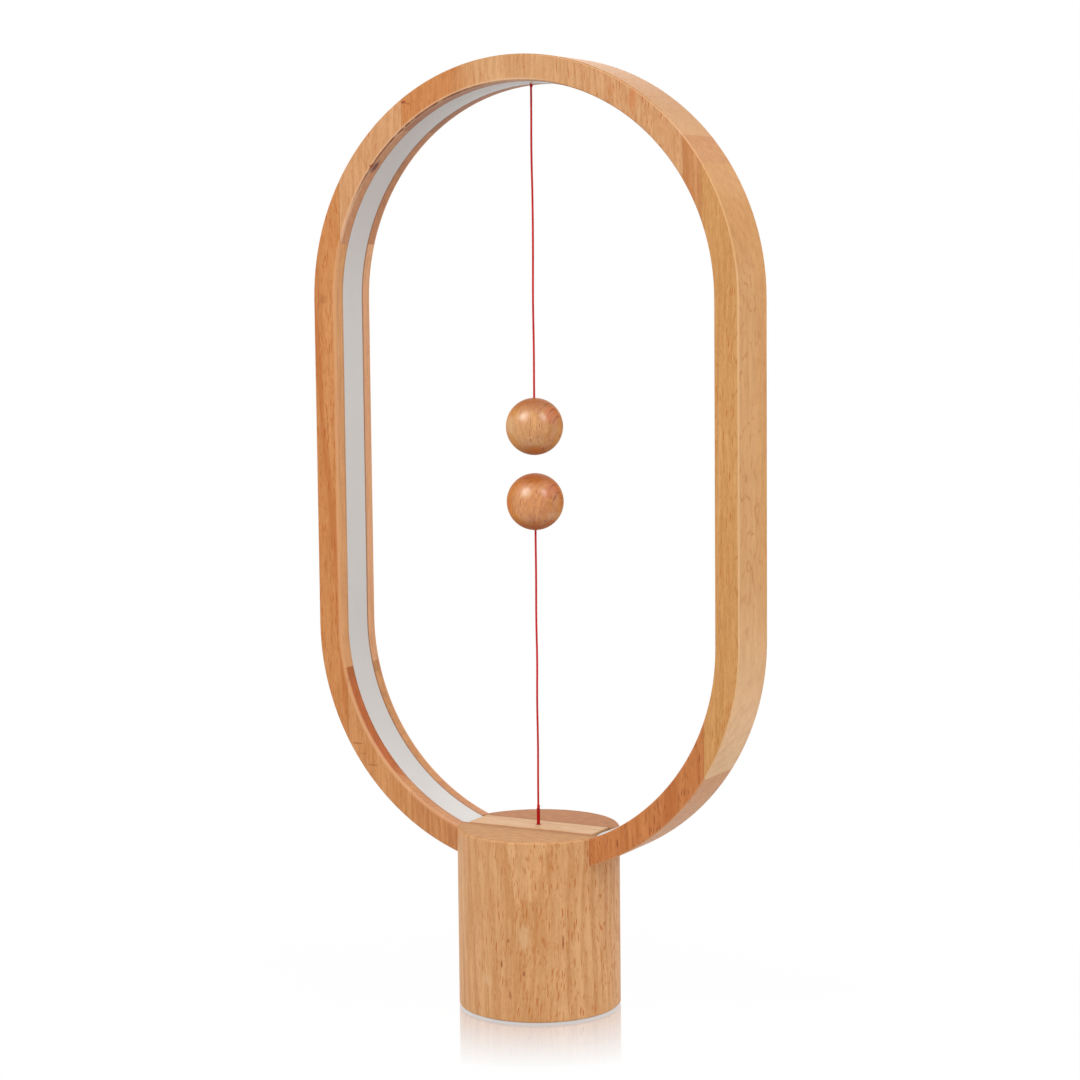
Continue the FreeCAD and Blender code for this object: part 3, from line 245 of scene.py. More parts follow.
class Beech(Finish):
    """Oiled beech, figured through its whole thickness, so that each face shows its own cut.

    The grain runs along Z. grow makes the wood, each of the next methods lays one kind of figure,
    painted shade or painted highlight over it, and oiled gives the material. Places and sizes are
    in millimetres.
    """

    RAY_TONE = (0.78, 0.42, 0.16)
    STREAK_LEVEL = 200.0  # the height where a streak has its X

    def __init__(self, name, tone, shift=(0, 0, 0), turn=(0, 0, 0), bow=None):
        """bow is a height, how much the grain bends about it, and where along X that starts
        and is full."""
        super().__init__(name, shift, turn)
        self.tone = tone
        self.settings = bpy.context.scene.lamp_wood
        if bow is not None:
            level, bend, near, far = bow
            lift = self.z - level
            self.grain[0] = self.grain[0] + lift * lift * self.x.rises(near, far) * bend
        self.fibre = self.noise((0.70, 0.70, 7.5), 3.0, 0.60)
        self.fine = self.noise((0.42, 0.42, 1.5), 2.0, 0.6)
        self.side = self.y.maths("ABSOLUTE")
        self.patch = self.noise((8, 20, 30), 1.0).rises(-0.35, 0.30)
        self.up_face = 0.0

    def tint(self, *factors):
        """The wood's own tone times a factor for each channel."""
        return scaled(self.tone, *factors)

    def lay(self, cover, colour):
        """Another colour over the wood, as far as cover says."""
        self.colour = self.mix(cover, self.colour, colour)

    def from_mark(self, x, z, wide, tall):
        """Distance from the middle of a mark, which is 1 at its outline."""
        return hypot((self.x - x) / wide, (self.z - z) / tall)

    def grow(self, pith=(14, 120), rings=0.2, figure=1.0, blotch=0.25):
        """The yearly rings and fibres.

        pith is where the middle of the tree lies in X and Y, rings the contrast of the rings,
        figure how far they wander, and blotch the strength of the warmer patches.
        """
        across, deep, up = self.grain
        wander = self.noise((26, 26, 90), 2.0) * (5.0 * figure)
        wander = wander + self.noise((6, 6, 24), 1.0) * (1.5 * figure)
        radius = hypot(across - pith[0], deep - pith[1]) + up * 0.03 + wander
        year = (radius / (self.settings.ring_width / MM)).maths("FRACT")
        late = year.rises(0.15, 0.90) * (1.0 - year.rises(0.91, 1.0))
        broad = self.noise((9, 16, 80), 1.0)
        band = self.noise((1.9, 2.6, 34), 2.0, 0.55)
        contrast = self.settings.fibre
        shade = 0.45 + (late - 0.4) * rings + broad * 0.30 + band * 0.60
        self.shade = shade + self.fibre * contrast + self.fine * (contrast * 0.7)
        light, dark = self.tint(1.13, 1.18, 1.26), self.tint(0.84, 0.71, 0.56)
        self.colour = self.mix(self.shade, light, dark)
        warm = self.noise((6, 9, 17), 2.0).rises(-0.1, 0.5)
        self.lay(warm * blotch, self.tint(0.90, 0.72, 0.52))

    def streaks(self, streaks):
        """Bands of darker wood: X at the streak level, lean, half width and strength of each."""
        for centre, lean, half_width, strength in streaks:
            line = self.x - (self.z - self.STREAK_LEVEL) * lean - centre
            line = line + self.noise((3, 3, 26), 2.0) * (half_width * 1.2)
            streak = 1.0 - line.maths("ABSOLUTE").rises(0.1 * half_width, half_width)
            self.lay(streak * strength, self.tint(0.84, 0.62, 0.42))

    def heart(self, near, far, strength):
        """Heartwood, which fades out from one place along X to another."""
        ragged = self.x + self.noise((4, 4, 12), 2.0) * 5.0
        inner = 1.0 - ragged.rises(near, far)
        light, dark = self.tint(1.0, 0.76, 0.46), self.tint(0.78, 0.42, 0.20)
        self.lay(inner * strength, self.mix(self.shade, light, dark))
        self.patch = self.patch.maths("MAXIMUM", inner)

    def dashes(self, strength, tone=RAY_TONE, depth=1.3, side=None, share=1.0):
        """The short dark ends of the rays. side is where along X they are few and where all."""
        across, deep, up = self.grain
        bent = [across + self.noise((5, 5, 9), 1.0), deep, up]
        long_ray, long_chance = self.cells((0.80, depth, 9.5), bent)
        short_ray, short_chance = self.cells((0.62, depth * 0.8, 5.0), bent)
        dash = (1.0 - long_ray.rises(0.12, 0.30)) * long_chance.rises(0.15, 0.40)
        dash = dash + (1.0 - short_ray.rises(0.12, 0.28)) * short_chance.rises(0.30, 0.55) * 0.8
        strength = self.settings.dash_strength * strength * share
        self.dash = dash * (0.3 + self.patch * 0.7) * strength
        if side is not None:
            self.dash = self.dash * (0.15 + self.x.rises(*side) * 0.85)
        self.lay(self.dash, self.tint(*tone))

    def poles_grain_and_shade(self, middle):
        """Darkens a ball towards its top and bottom: end grain, and painted shade under the ball
        and in the gap between the two balls.
        """
        away = (self.z - middle).maths("ABSOLUTE")
        self.lay(away.rises(5.0, 11.5) * 0.9, self.tint(0.62, 0.40, 0.34))

    def mottle(self, strength):
        """Small dark and pale flecks, as on a ball that cuts across every layer."""
        dapple = self.noise((1.5, 1.5, 3.4), 4.0, 0.7)
        self.lay(dapple.rises(0.02, 0.55) * strength, self.tint(0.72, 0.44, 0.26))
        pale = (0.0 - dapple).rises(0.02, 0.55)
        self.lay(pale * (strength * 0.6), self.tint(1.14, 1.28, 1.55))

    def end_grain(self, front_tone, rear_tone):
        """The base's top: end tones darker than the sides, partly as painted shade against the
        lamps above, with painted shade beside the strip and a painted highlight along the rim.
        """
        self.up_face = self.z.rises(BASE_TOP - 0.5, BASE_TOP - 0.1)
        shade = 0.5 + self.fine * 0.5 + self.noise((5.0, 1.8, 5.0), 3.0) * 1.1
        # The end tones are darker than the sides, partly as painted shade against the lamps above.
        front, rear = (
            self.mix(shade, scaled(tone, 1.14), scaled(tone, 0.88, 0.82, 0.74))
            for tone in (front_tone, rear_tone)
        )
        ends = self.mix(self.y.rises(-2.0, 2.0), front, rear)
        # Painted shade on the top beside the strip.
        strip_shade_ends = 13.5 + self.noise((9, 9, 9), 1.0) * 3.0
        painted_strip_shade = 1.0 - self.side.rises(GROOVE_HALF + 0.2, strip_shade_ends)
        self.lay(self.up_face, self.mix(painted_strip_shade * 0.75, ends, scaled(front_tone, 0.74, 0.64, 0.58)))
        # Painted highlight, broken by noise, along the rim of the top.
        rim = hypot(self.x, self.y) + self.z - BASE_TOP
        broken = self.noise((1.6, 1.6, 4), 2.0).rises(-0.25, 0.15)
        edge_highlight = rim.rises(BASE_RADIUS - 0.75, BASE_RADIUS - 0.5) * broken
        self.lay(edge_highlight * 0.85, self.tint(1.34, 1.55, 1.95))

    def marks(self, kind, places, front=FRONT_FACE):
        """Marks on the front: X, Z, half width, half height and strength of each."""
        tone, size = kind
        shown = 1.0 - self.y.rises(*front)
        for x, z, wide, tall, strength in places:
            ragged = self.noise((size, size, size * 1.8), 2.0) * (0.35 + size * 0.15)
            away = self.from_mark(x, z, wide, tall) + ragged
            self.lay((1.0 - away.rises(0.30, 1.0)) * (shown * strength), tone)

    def oiled(self, gloss=0.0):
        """The material. gloss is the polish of a turned piece, where it faces the eye."""
        relief = self.fibre * 0.35 + self.fine * 0.25 - self.dash * 0.8
        rough = self.settings.roughness + self.fine * 0.06 + self.dash * 0.12
        rough = rough + self.up_face * 0.35
        coat, shine = 0.0, 0.3
        if gloss:
            facing = self.node("ShaderNodeLayerWeight", {}, {"Blend": 0.5}, "Facing")
            coat, shine = (1.0 - facing.rises(0.20, 0.60)) * gloss, 0.12
        return self.surface(
            self.colour, rough, relief, 0.00003, 0.5,
            Coat_Weight=coat, Coat_Roughness=0.32, Coat_IOR=1.8, Specular_IOR_Level=shine,
        )


class Stave(Beech):
    """The beech of one stave of the ring, with what its lips, edges and outer face show."""

    # The crown's dark edge is painted shade.
    CROWN = (335.0, 358.0)  # heights where the crown's dark edge starts and is full

    def __init__(self, name, tone, shift, turn):
        super().__init__(name, tone, shift, turn)
        level = self.z - self.z.maths("MAXIMUM", LOWER_CENTRE).maths("MINIMUM", UPPER_CENTRE)
        # Distance from the upright line that joins the middles of the ring's two arcs.
        self.reach = hypot(self.x, level)
        self.behind = self.y.rises(-1.0, 1.0)
        self.rear = self.y.rises(0.0, 9.0)
        self.cut = self.x.maths("ABSOLUTE").rises(OUTER_RADIUS - 3.0, OUTER_RADIUS - 0.5)

    def cut_across(self, strength):
        """The tones of an outer face that is cut across the rays, and its share of dashes."""
        self.lay(self.cut * (1.0 - self.rear) * (strength * 0.25), self.tint(1.02, 1.12, 1.40))
        self.lay(self.cut * self.rear * (strength * 0.35), self.tint(0.98, 0.93, 0.80))
        return 1.0 - self.cut * (0.85 - self.rear * 0.65)

    def flames(self, strength):
        """The faint hooked figure of an outer face that is cut across the rays."""
        swirl = (self.noise((7, 9, 14), 1.0) * 2.2 + self.grain[1] * 0.04).maths("FRACT")
        flame = swirl.rises(0.66, 0.88) * (1.0 - swirl.rises(0.91, 1.0))
        ragged = self.noise((2.5, 2.5, 5), 2.0).rises(-0.30, 0.30)
        flame = flame * ragged * self.cut * (1.0 - self.rear * 0.6) * strength
        self.lay(flame, self.tint(0.84, 0.68, 0.50))

    def lips(self, tones, end=None, low=None, marks=()):
        """The front and the rear lip beside the groove, and the shade at the groove's walls.

        end is where their tones fade out along X. low gives the height below which the lips
        have two other tones. marks are burns, each with X, Z, half width, half height, strength.
        """
        lip = 1.0 - self.reach.rises(INNER_RADIUS + 0.10, INNER_RADIUS + 0.40)
        shown = lip
        if end is not None:
            ragged = self.x + self.noise((2, 2, 2), 2.0) * 2.0
            shown = lip * (1.0 - ragged.rises(*end))
        for tone, half in zip(tones, (1.0 - self.behind, self.behind)):
            if tone is not None:
                light, dark = scaled(tone, 1.12), scaled(tone, 0.80, 0.70, 0.60)
                self.lay(shown * half, self.mix(self.shade, light, dark))
        if low is not None:
            level, front, rear = low
            below = lip * (1.0 - self.z.rises(level - 0.2, level + 0.2))
            light = self.mix(self.behind, front, rear)
            self.lay(below, self.mix(self.shade * 0.6, light, scaled(front, 0.6)))
        wall = lip * (1.0 - self.side.rises(GROOVE_HALF + 0.2, GROOVE_HALF + 1.3))
        self.lay(wall * (0.30 + self.behind * 0.50), self.tint(0.42, 0.28, 0.20))
        for x, z, wide, tall, strength in marks:
            away = self.from_mark(x, z, wide, tall) + self.noise((1.6, 1.6, 1.6), 2.0) * 0.6
            burn = (1.0 - away.rises(0.30, 1.0)) * (1.0 - self.y.rises(-10.5, -9.0))
            self.lay(burn * lip * strength, rgb(104, 40, 22))

    def edges(self):
        """Painted highlights along the edges, outer on the right and inner on the left, and painted
        shade on the crown's inner front edge.
        """
        right = self.x.rises(0.0, 30.0)
        outer = self.reach + self.side - (OUTER_RADIUS + HALF_DEPTH)
        inner = self.side - self.reach - (HALF_DEPTH - INNER_RADIUS)
        # Painted highlights: the outer edge on the right, the inner edge on the left.
        pale = inner.rises(-1.6, -0.6) * (0.75 - right)
        edge_highlight = (outer.rises(-0.62, -0.5) * right).maths("MAXIMUM", pale)
        self.lay(edge_highlight * 0.90, self.tint(1.22, 1.45, 2.05))
        # Painted shade along the inner front edge at the crown.
        crown = self.z.rises(*self.CROWN) * (1.0 - self.x.rises(-30.0, 5.0))
        broken = self.noise((3, 3, 3), 2.0).rises(-0.6, 0.1)
        dark = inner.rises(-0.75, -0.5) * (1.0 - self.behind) * crown * broken
        self.lay(dark * 0.9, self.tint(0.34, 0.20, 0.14))

    def seams(self, lines):
        """The glue lines at these places along X, on the front and rear faces."""
        for line in lines:
            near = 1.0 - (self.x - line).maths("ABSOLUTE").rises(0.05, 0.30)
            near = near * self.side.rises(HALF_DEPTH - 0.9, HALF_DEPTH - 0.6)
            self.lay(near * 0.4, self.tint(0.55, 0.42, 0.32))

    def outer_tones_and_painted_light(self, layers):
        """Tones of the outer face, partly painted light: painted shade where it faces up to the
        lamps, and a paler painted reflection low down where it faces the floor. Each is a tone,
        heights where it is gone and full, and strength.
        """
        face = self.reach.rises(OUTER_RADIUS - 0.5, OUTER_RADIUS - 0.2)
        # Painted light on the outer face, laid by height.
        for tone, gone, full, strength in layers:
            light, dark = scaled(tone, 1.1), scaled(tone, 0.90, 0.84, 0.78)
            cover = face * self.z.rises(gone, full) * strength
            self.lay(cover, self.mix(self.shade, light, dark))


def moulded(name, colour, roughness, texture=0.35):
    """Moulded plastic with a fine spark-eroded texture."""
    finish = Finish(name)
    tone = finish.noise((6, 6, 6), 2.0)
    speckle = finish.noise((0.25, 0.25, 0.25), 2.0)
    base = finish.cloud(tone, scaled(colour, 0.95), scaled(colour, 1.05))
    return finish.surface(base, roughness + speckle * 0.06, speckle, 0.00002, texture)


def drawn_metal(name, colour, roughness, run):
    """Metal with fine marks of this size along each axis, from its drawing or rolling."""
    finish = Finish(name)
    marks = finish.noise(run, 2.0, 0.6)
    stain = finish.noise((3, 3, 3), 2.0)
    base = finish.cloud(stain, scaled(colour, 0.93), scaled(colour, 1.05))
    return finish.surface(base, roughness + marks * 0.08, marks, 0.000008, 0.5, Metallic=1.0)


# ---- helpers for pieces


def dress(material, *nodes):
    """Give CAD nodes a finished material."""
    for node in nodes:
        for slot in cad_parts[node].material_slots:
            slot.material = material


def put(name, data):
    """A new object in the scene."""
    thing = bpy.data.objects.new(name, data)
    bpy.context.scene.collection.objects.link(thing)
    return thing


def new_piece(name, mesh, material, body):
    """An object of its own on one of the bodies, with this material."""
    mesh.name = name
    mesh.materials.clear()
    mesh.materials.append(material)
    piece = put(name, mesh)
    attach(piece, body)
    return piece


def line_of(route):
    """The points of a smooth NURBS line through the neighbourhood of the route's points."""
    curve = bpy.data.curves.new("route", "CURVE")
    curve.dimensions = "3D"
    curve.resolution_u = 24
    spline = curve.splines.new("NURBS")
    spline.points.add(len(route) - 1)
    for point, place in zip(spline.points, route):
        point.co = (*place, 1.0)
    spline.order_u = 3
    spline.use_endpoint_u = True
    holder = bpy.data.objects.new("route", curve)
    mesh = bpy.data.meshes.new_from_object(holder)
    points = [vertex.co.copy() for vertex in mesh.vertices]
    bpy.data.objects.remove(holder)
    bpy.data.curves.remove(curve)
    bpy.data.meshes.remove(mesh)
    return points


def along(points, step):
    """Points at even steps along a line."""
    spaced = [points[0].copy()]
    left = step
    for start, end in zip(points, points[1:]):
        span = (end - start).length
        while left <= span:
            spaced.append(start.lerp(end, left / span))
            left += step
        left -= span
    return spaced


def tubes(lines, radius, cyclic=False):
    """One mesh of round tubes along lines of points, which are closed if cyclic."""
    curve = bpy.data.curves.new("tubes", "CURVE")
    curve.dimensions = "3D"
    curve.bevel_depth = radius
    curve.bevel_resolution = 2
    curve.use_fill_caps = not cyclic
    for points in lines:
        spline = curve.splines.new("POLY")
        spline.points.add(len(points) - 1)
        for point, place in zip(spline.points, points):
            point.co = (*place, 1.0)
        spline.use_cyclic_u = cyclic
        spline.use_smooth = True
    holder = bpy.data.objects.new("tubes", curve)
    mesh = bpy.data.meshes.new_from_object(holder)
    bpy.data.objects.remove(holder)
    bpy.data.curves.remove(curve)
    return mesh


def strands(points, diameter, lay, count):
    """The centre lines of strands twisted round a line of points, and the strands' radius.

    The strands are a little thicker than those that would only touch, as if pressed together.
    """
    pressed = 1.3
    half = diameter / 2
    strand = half / (1 + 1 / math.sin(math.pi / count))
    reach = half - strand
    lines = [[] for _ in range(count)]
    run = 0.0
    for i, point in enumerate(points):
        ahead = (points[min(i + 1, len(points) - 1)] - points[max(i - 1, 0)]).normalized()
        side = ahead.cross(Vector((0, 1, 0))).normalized()
        other = ahead.cross(side)
        if i:
            run += (point - points[i - 1]).length
        for k, line in enumerate(lines):
            turn = 2 * math.pi * (run / lay + k / count)
            line.append(point + side * (reach * math.cos(turn)) + other * (reach * math.sin(turn)))
    return lines, strand * pressed


# ---- settings


class StringSettings(bpy.types.PropertyGroup):
    diameter: FloatProperty(
        name="Diameter", description="Thickness of both strings",
        default=0.00085, min=0.0005, max=0.002, unit="LENGTH",
    )
    lay: FloatProperty(
        name="Lay", description="Length of one turn of the strands",
        default=0.0026, min=0.001, max=0.01, unit="LENGTH",
    )
    count: IntProperty(
        name="Strands", description="Strands in each string", default=3, min=2, max=5,
    )
    step: FloatProperty(
        name="Step", description="Distance between the rings of a strand's mesh",
        default=0.00022, min=0.0001, max=0.001, unit="LENGTH",
    )
    colour: FloatVectorProperty(
        name="Colour", description="Dyed cotton", subtype="COLOR", size=4,
        default=rgb(205, 10, 11), min=0, max=1,
    )


class WoodSettings(bpy.types.PropertyGroup):
    ring_width: FloatProperty(
        name="Ring width", description="One year's growth",
        default=0.0025, min=0.001, max=0.01, unit="LENGTH",
    )
    dash_strength: FloatProperty(
        name="Dashes", description="Darkness of the short dark dashes",
        default=0.85, min=0, max=1, subtype="FACTOR",
    )
    fibre: FloatProperty(
        name="Fibre", description="Contrast of the fine fibres", default=0.65, min=0, max=3,
    )
    roughness: FloatProperty(
        name="Roughness", description="Roughness of the oiled wood",
        default=0.50, min=0, max=1, subtype="FACTOR",
    )


class StageSettings(bpy.types.PropertyGroup):
    lamp_power: FloatProperty(
        name="Lamps", description="Power of each soft lamp", default=4.5, min=0, unit="POWER",
    )
    lamp_size: FloatProperty(
        name="Lamp size", description="Side of each soft lamp",
        default=0.55, min=0.1, unit="LENGTH",
    )
    sky: FloatProperty(
        name="Surroundings", description="Light from all round", default=0.85, min=0, max=1,
    )
    ground: FloatProperty(
        name="Floor brightness", description="How much light the floor throws back on the object",
        default=0.60, min=0, max=1, subtype="FACTOR",
    )
    floor_radius: FloatProperty(
        name="Floor", description="Radius of the pale floor", default=40, min=1, unit="LENGTH",
    )
    mirror: FloatProperty(
        name="Mirror", description="Reflection in the floor at the foot of the base",
        default=0.64, min=0, max=1, subtype="FACTOR",
    )


# ---- the strings


class LAMP_OT_strings(bpy.types.Operator):
    """Twisted red strings that hold the two balls, and the knots that they swing on"""

    bl_idname = "lamp.strings"
    bl_label = "Strings"

    # Where each string runs: (X, Y, height) in metres, from its knot to inside the ball's plug.
    UPPER_ROUTE = (
        (0, 0, 0.3885), (0.00002, 0, 0.3790), (-0.00022, 0, 0.3610), (0.00020, 0, 0.3410),
        (0.00012, 0.0001, 0.3200), (-0.00016, 0, 0.2990), (0.00010, 0, 0.2800),
        (0, 0, 0.2640), (0, 0, 0.25080),
    )
    LOWER_ROUTE = (
        (0, 0, 0.0846), (0, 0, 0.0960), (0.00020, 0, 0.1130), (-0.00012, 0, 0.1310),
        (0.00024, 0, 0.1480), (-0.00018, 0.0001, 0.1650), (0.00008, 0, 0.1830),
        (0, 0, 0.1985), (0, 0, 0.21120),
    )

    def cotton(self):
        finish = Finish("red_string")
        colour = bpy.context.scene.lamp_strings.colour
        wear = finish.noise((3, 3, 17), 2.0)
        fluff = finish.noise((0.07, 0.07, 0.3), 2.0)
        base = finish.mix(0.5 + wear * 0.9, scaled(colour, 0.62), scaled(colour, 1.25))
        base = finish.mix(0.35 + fluff * 0.5, base, scaled(colour, 1.2, 1.9, 1.9))
        return finish.surface(base, 0.78, fluff, 0.00003, 0.5)

    def tie_knot(self, name, node, body, cotton):
        """A small overhand knot in place of the CAD knot."""
        low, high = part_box(node)
        middle = (low + high) / 2
        size = (high.z - low.z) / 2
        tube = size * 0.36
        steps, widest = 72, 3.0
        points = []
        for i in range(steps):
            t = 2 * math.pi * i / steps
            shape = Vector((
                math.sin(t) + 2 * math.sin(2 * t),
                math.cos(t) - 2 * math.cos(2 * t),
                -math.sin(3 * t) * widest,
            ))
            points.append(middle + shape * ((size - tube) / widest))
        knot = new_piece(name, tubes([points], tube, cyclic=True), cotton, body)
        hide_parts(node)

    def execute(self, context):
        settings = context.scene.lamp_strings
        cotton = self.cotton()
        for name, route, body, lay in (
            ("upper_twist", self.UPPER_ROUTE, "upper_pendulum", "hanging"),
            ("lower_twist", self.LOWER_ROUTE, "lower_pendulum", "taut"),
        ):
            line = line_of(route)
            spaced = along(line, settings.step)
            centres, radius = strands(spaced, settings.diameter, settings.lay, settings.count)
            twist = new_piece(name, tubes(centres, radius), cotton, body)
            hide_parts(name.replace("twist", "string"))
        self.tie_knot("upper_overhand", "upper_knot", "upper_swivel", cotton)
        self.tie_knot("lower_overhand", "lower_knot", "lower_swivel", cotton)

        sleeve = Finish("red_sleeve")
        ribs = sleeve.noise((0.5, 0.5, 0.35), 2.0)
        base = sleeve.cloud(ribs, rgb(160, 7, 8), rgb(184, 12, 14))
        rough = 0.62 + ribs * 0.05
        rubber = sleeve.surface(base, rough, ribs, 0.00002, 0.4, Specular_IOR_Level=0.2)
        dress(rubber, "lower_string_sleeve")
        return {"FINISHED"}


# ---- the wood


class LAMP_OT_ring(bpy.types.Operator):
    """Beech staves of the ring, each from a board of its own"""

    bl_idname = "lamp.ring"
    bl_label = "Ring"

    def stave(self, node, tone, shift, turn=(0, 0, 0), figure=1.0, dashes=1.0,
              dash_tone=Beech.RAY_TONE, streaks=(), heart=None, flames=0.0,
              lips=(None, None), lip_end=None, low_lips=None, lip_marks=(), seams=(), outer_tones_and_painted_light=(),
              warm_marks=(), marks=()):
        """One stave from its own place in a board, with the looks that Stave's methods give."""
        wood = Stave(node.replace("ring_", "beech_"), tone, shift, turn)
        wood.grow(figure=figure)
        wood.streaks(streaks)
        if heart is not None:
            wood.heart(*heart)
        share = wood.cut_across(flames) if flames else 1.0
        wood.dashes(dashes, dash_tone, share=share)
        if flames:
            wood.flames(flames)
        wood.lips(lips, lip_end, low_lips, lip_marks)
        wood.edges()
        wood.seams(seams)
        wood.outer_tones_and_painted_light(outer_tones_and_painted_light)
        wood.marks(WARM_MARK, warm_marks)
        wood.marks(DARK_MARK, marks)
        dress(wood.oiled(), node)

    def execute(self, context):
        # The glue lines between the boards, along X in millimetres.
        left, left_middle, middle, shoulder, right = -86.0, -54.5, 24.3, 76.0, 84.2
        staves = {
            "ring_left_side": dict(
                tone=rgb(204, 138, 80), shift=(40, 0, 0), turn=(0, 1.2, 0), dashes=1.9,
                figure=1.3, seams=(left,), streaks=((-92.2, -0.078, 2.2, 0.8),),
                lips=(rgb(220, 161, 106), rgb(224, 168, 124)),
                low_lips=(141.0, rgb(186, 98, 30), rgb(206, 146, 92)),
                marks=(
                    (-95.4, 300.5, 2.6, 3.4, 0.35), (-91.5, 296.0, 0.5, 4.0, 0.35),
                    (-94.0, 246.0, 0.6, 5.0, 0.4), (-93.0, 196.0, 0.5, 4.5, 0.35),
                ),
            ),
            "ring_top_left": dict(
                tone=rgb(210, 156, 107), shift=(-130, 9, 60), turn=(0, -2.0, 0), dashes=1.0,
                seams=(left, left_middle), lips=(rgb(202, 144, 102), rgb(194, 133, 90)),
                marks=((-69.6, 356.2, 1.6, 1.0, 0.8),), lip_marks=((-69.5, 356.0, 3.4, 4.0, 0.9),),
            ),
            "ring_top_middle": dict(
                tone=rgb(208, 156, 106), shift=(210, 5, 10), dashes=1.2,
                seams=(left_middle, middle),
                heart=(-34.0, -16.0, 0.85), outer_tones_and_painted_light=((rgb(182, 125, 62), 366.0, 382.0, 0.9),),
                lips=(rgb(176, 118, 82), rgb(176, 118, 82)),
                marks=((-53.4, 382.3, 1.9, 0.8, 0.9), (-51.2, 381.6, 1.5, 0.6, 0.6)),
            ),
            "ring_top_right": dict(
                tone=rgb(210, 157, 108), shift=(330, -6, 85), dashes=1.6, seams=(middle, shoulder),
                warm_marks=((54.0, 379.0, 2.6, 6.0, 0.45), (43.0, 384.0, 3.0, 4.0, 0.25)),
                outer_tones_and_painted_light=(
                    (rgb(198, 147, 96), 420.0, 400.0, 0.8), (rgb(182, 125, 62), 366.0, 384.0, 0.9),
                ),
            ),
            "ring_right_shoulder": dict(
                tone=rgb(201, 140, 86), shift=(450, 3, 30), dashes=0.6, seams=(shoulder, right),
                streaks=((77.0, 0.0, 4.0, 0.45),), flames=0.7,
                outer_tones_and_painted_light=((rgb(198, 144, 94), 420.0, 300.0, 0.8),),
            ),
            "ring_right_side": dict(
                tone=rgb(206, 151, 90), shift=(520, 7, 140), turn=(0, -0.8, 0), dashes=1.2,
                figure=0.8, flames=1.1, seams=(right,),
                outer_tones_and_painted_light=(
                    (rgb(194, 137, 73), 306.0, 326.0, 0.6), (rgb(208, 154, 98), 336.0, 346.0, 0.7),
                    (rgb(229, 187, 142), 200.0, 122.0, 0.8),
                ),
            ),
            "ring_bottom_right": dict(
                tone=rgb(197, 123, 67), shift=(610, -3, 30), turn=(0, 2.0, 0), dashes=2.0,
                dash_tone=(0.45, 0.28, 0.22), seams=(middle, right), flames=0.25,
                streaks=((68.0, 0.0, 7.5, 0.55),), outer_tones_and_painted_light=((rgb(214, 159, 112), 150.0, 90.0, 0.8),),
            ),
            "ring_bottom_middle": dict(
                tone=rgb(199, 135, 82), shift=(730, 4, 70), dashes=0.8, seams=(left_middle, middle),
            ),
            "ring_bottom_left": dict(
                tone=rgb(205, 143, 88), shift=(860, 2, 20), turn=(0, 0.6, 0), dashes=1.0,
                seams=(left, left_middle), lips=(rgb(186, 98, 34), rgb(206, 146, 92)),
                lip_end=(-66.0, -57.0),
                marks=(
                    (-87.1, 126.8, 0.9, 1.8, 0.6), (-81.3, 108.3, 3.6, 0.6, 0.5),
                    (-73.8, 99.3, 4.2, 0.6, 0.4), (-78.5, 104.0, 2.6, 0.5, 0.35),
                ),
            ),
        }
        for node, look in staves.items():
            self.stave(node, **look)
        return {"FINISHED"}


class LAMP_OT_base(bpy.types.Operator):
    """The turned base, its slot infills and the lighter strip across its top"""

    bl_idname = "lamp.base"
    bl_label = "Base"

    def execute(self, context):
        turned = Beech(
            "beech_base", rgb(213, 160, 108), shift=(3, 0, 8), bow=(52.0, 0.0012, -16.0, 12.0),
        )
        turned.grow(pith=(-18, 57), rings=0.40, figure=0.35)
        turned.dashes(2.0, side=(-22.0, 2.0))
        turned.end_grain(rgb(197, 148, 104), rgb(188, 134, 98))
        turned.marks(PALE_MARK, ((10.6, 36.4, 3.0, 7.0, 0.5), (-6.8, 17.2, 3.2, 3.6, 0.35)))
        turned.marks(DARK_MARK, (
            (0.7, 25.0, 0.8, 2.4, 0.75), (10.4, 21.6, 0.7, 1.9, 0.7), (4.0, 35.2, 1.2, 1.1, 0.5),
            (4.5, 12.1, 0.7, 2.6, 0.6), (24.4, 34.5, 0.35, 4.6, 0.8),
        ))
        dress(turned.oiled(), "base_body", "front_infill", "rear_infill")
        strip = Beech("beech_strip", rgb(218, 176, 134), shift=(0, 40, 0), turn=(0, 90, 0))
        strip.grow(rings=0.25, figure=0.6)
        strip.dashes(0.2)
        dress(strip.oiled(gloss=0.1), "string_strip")
        return {"FINISHED"}


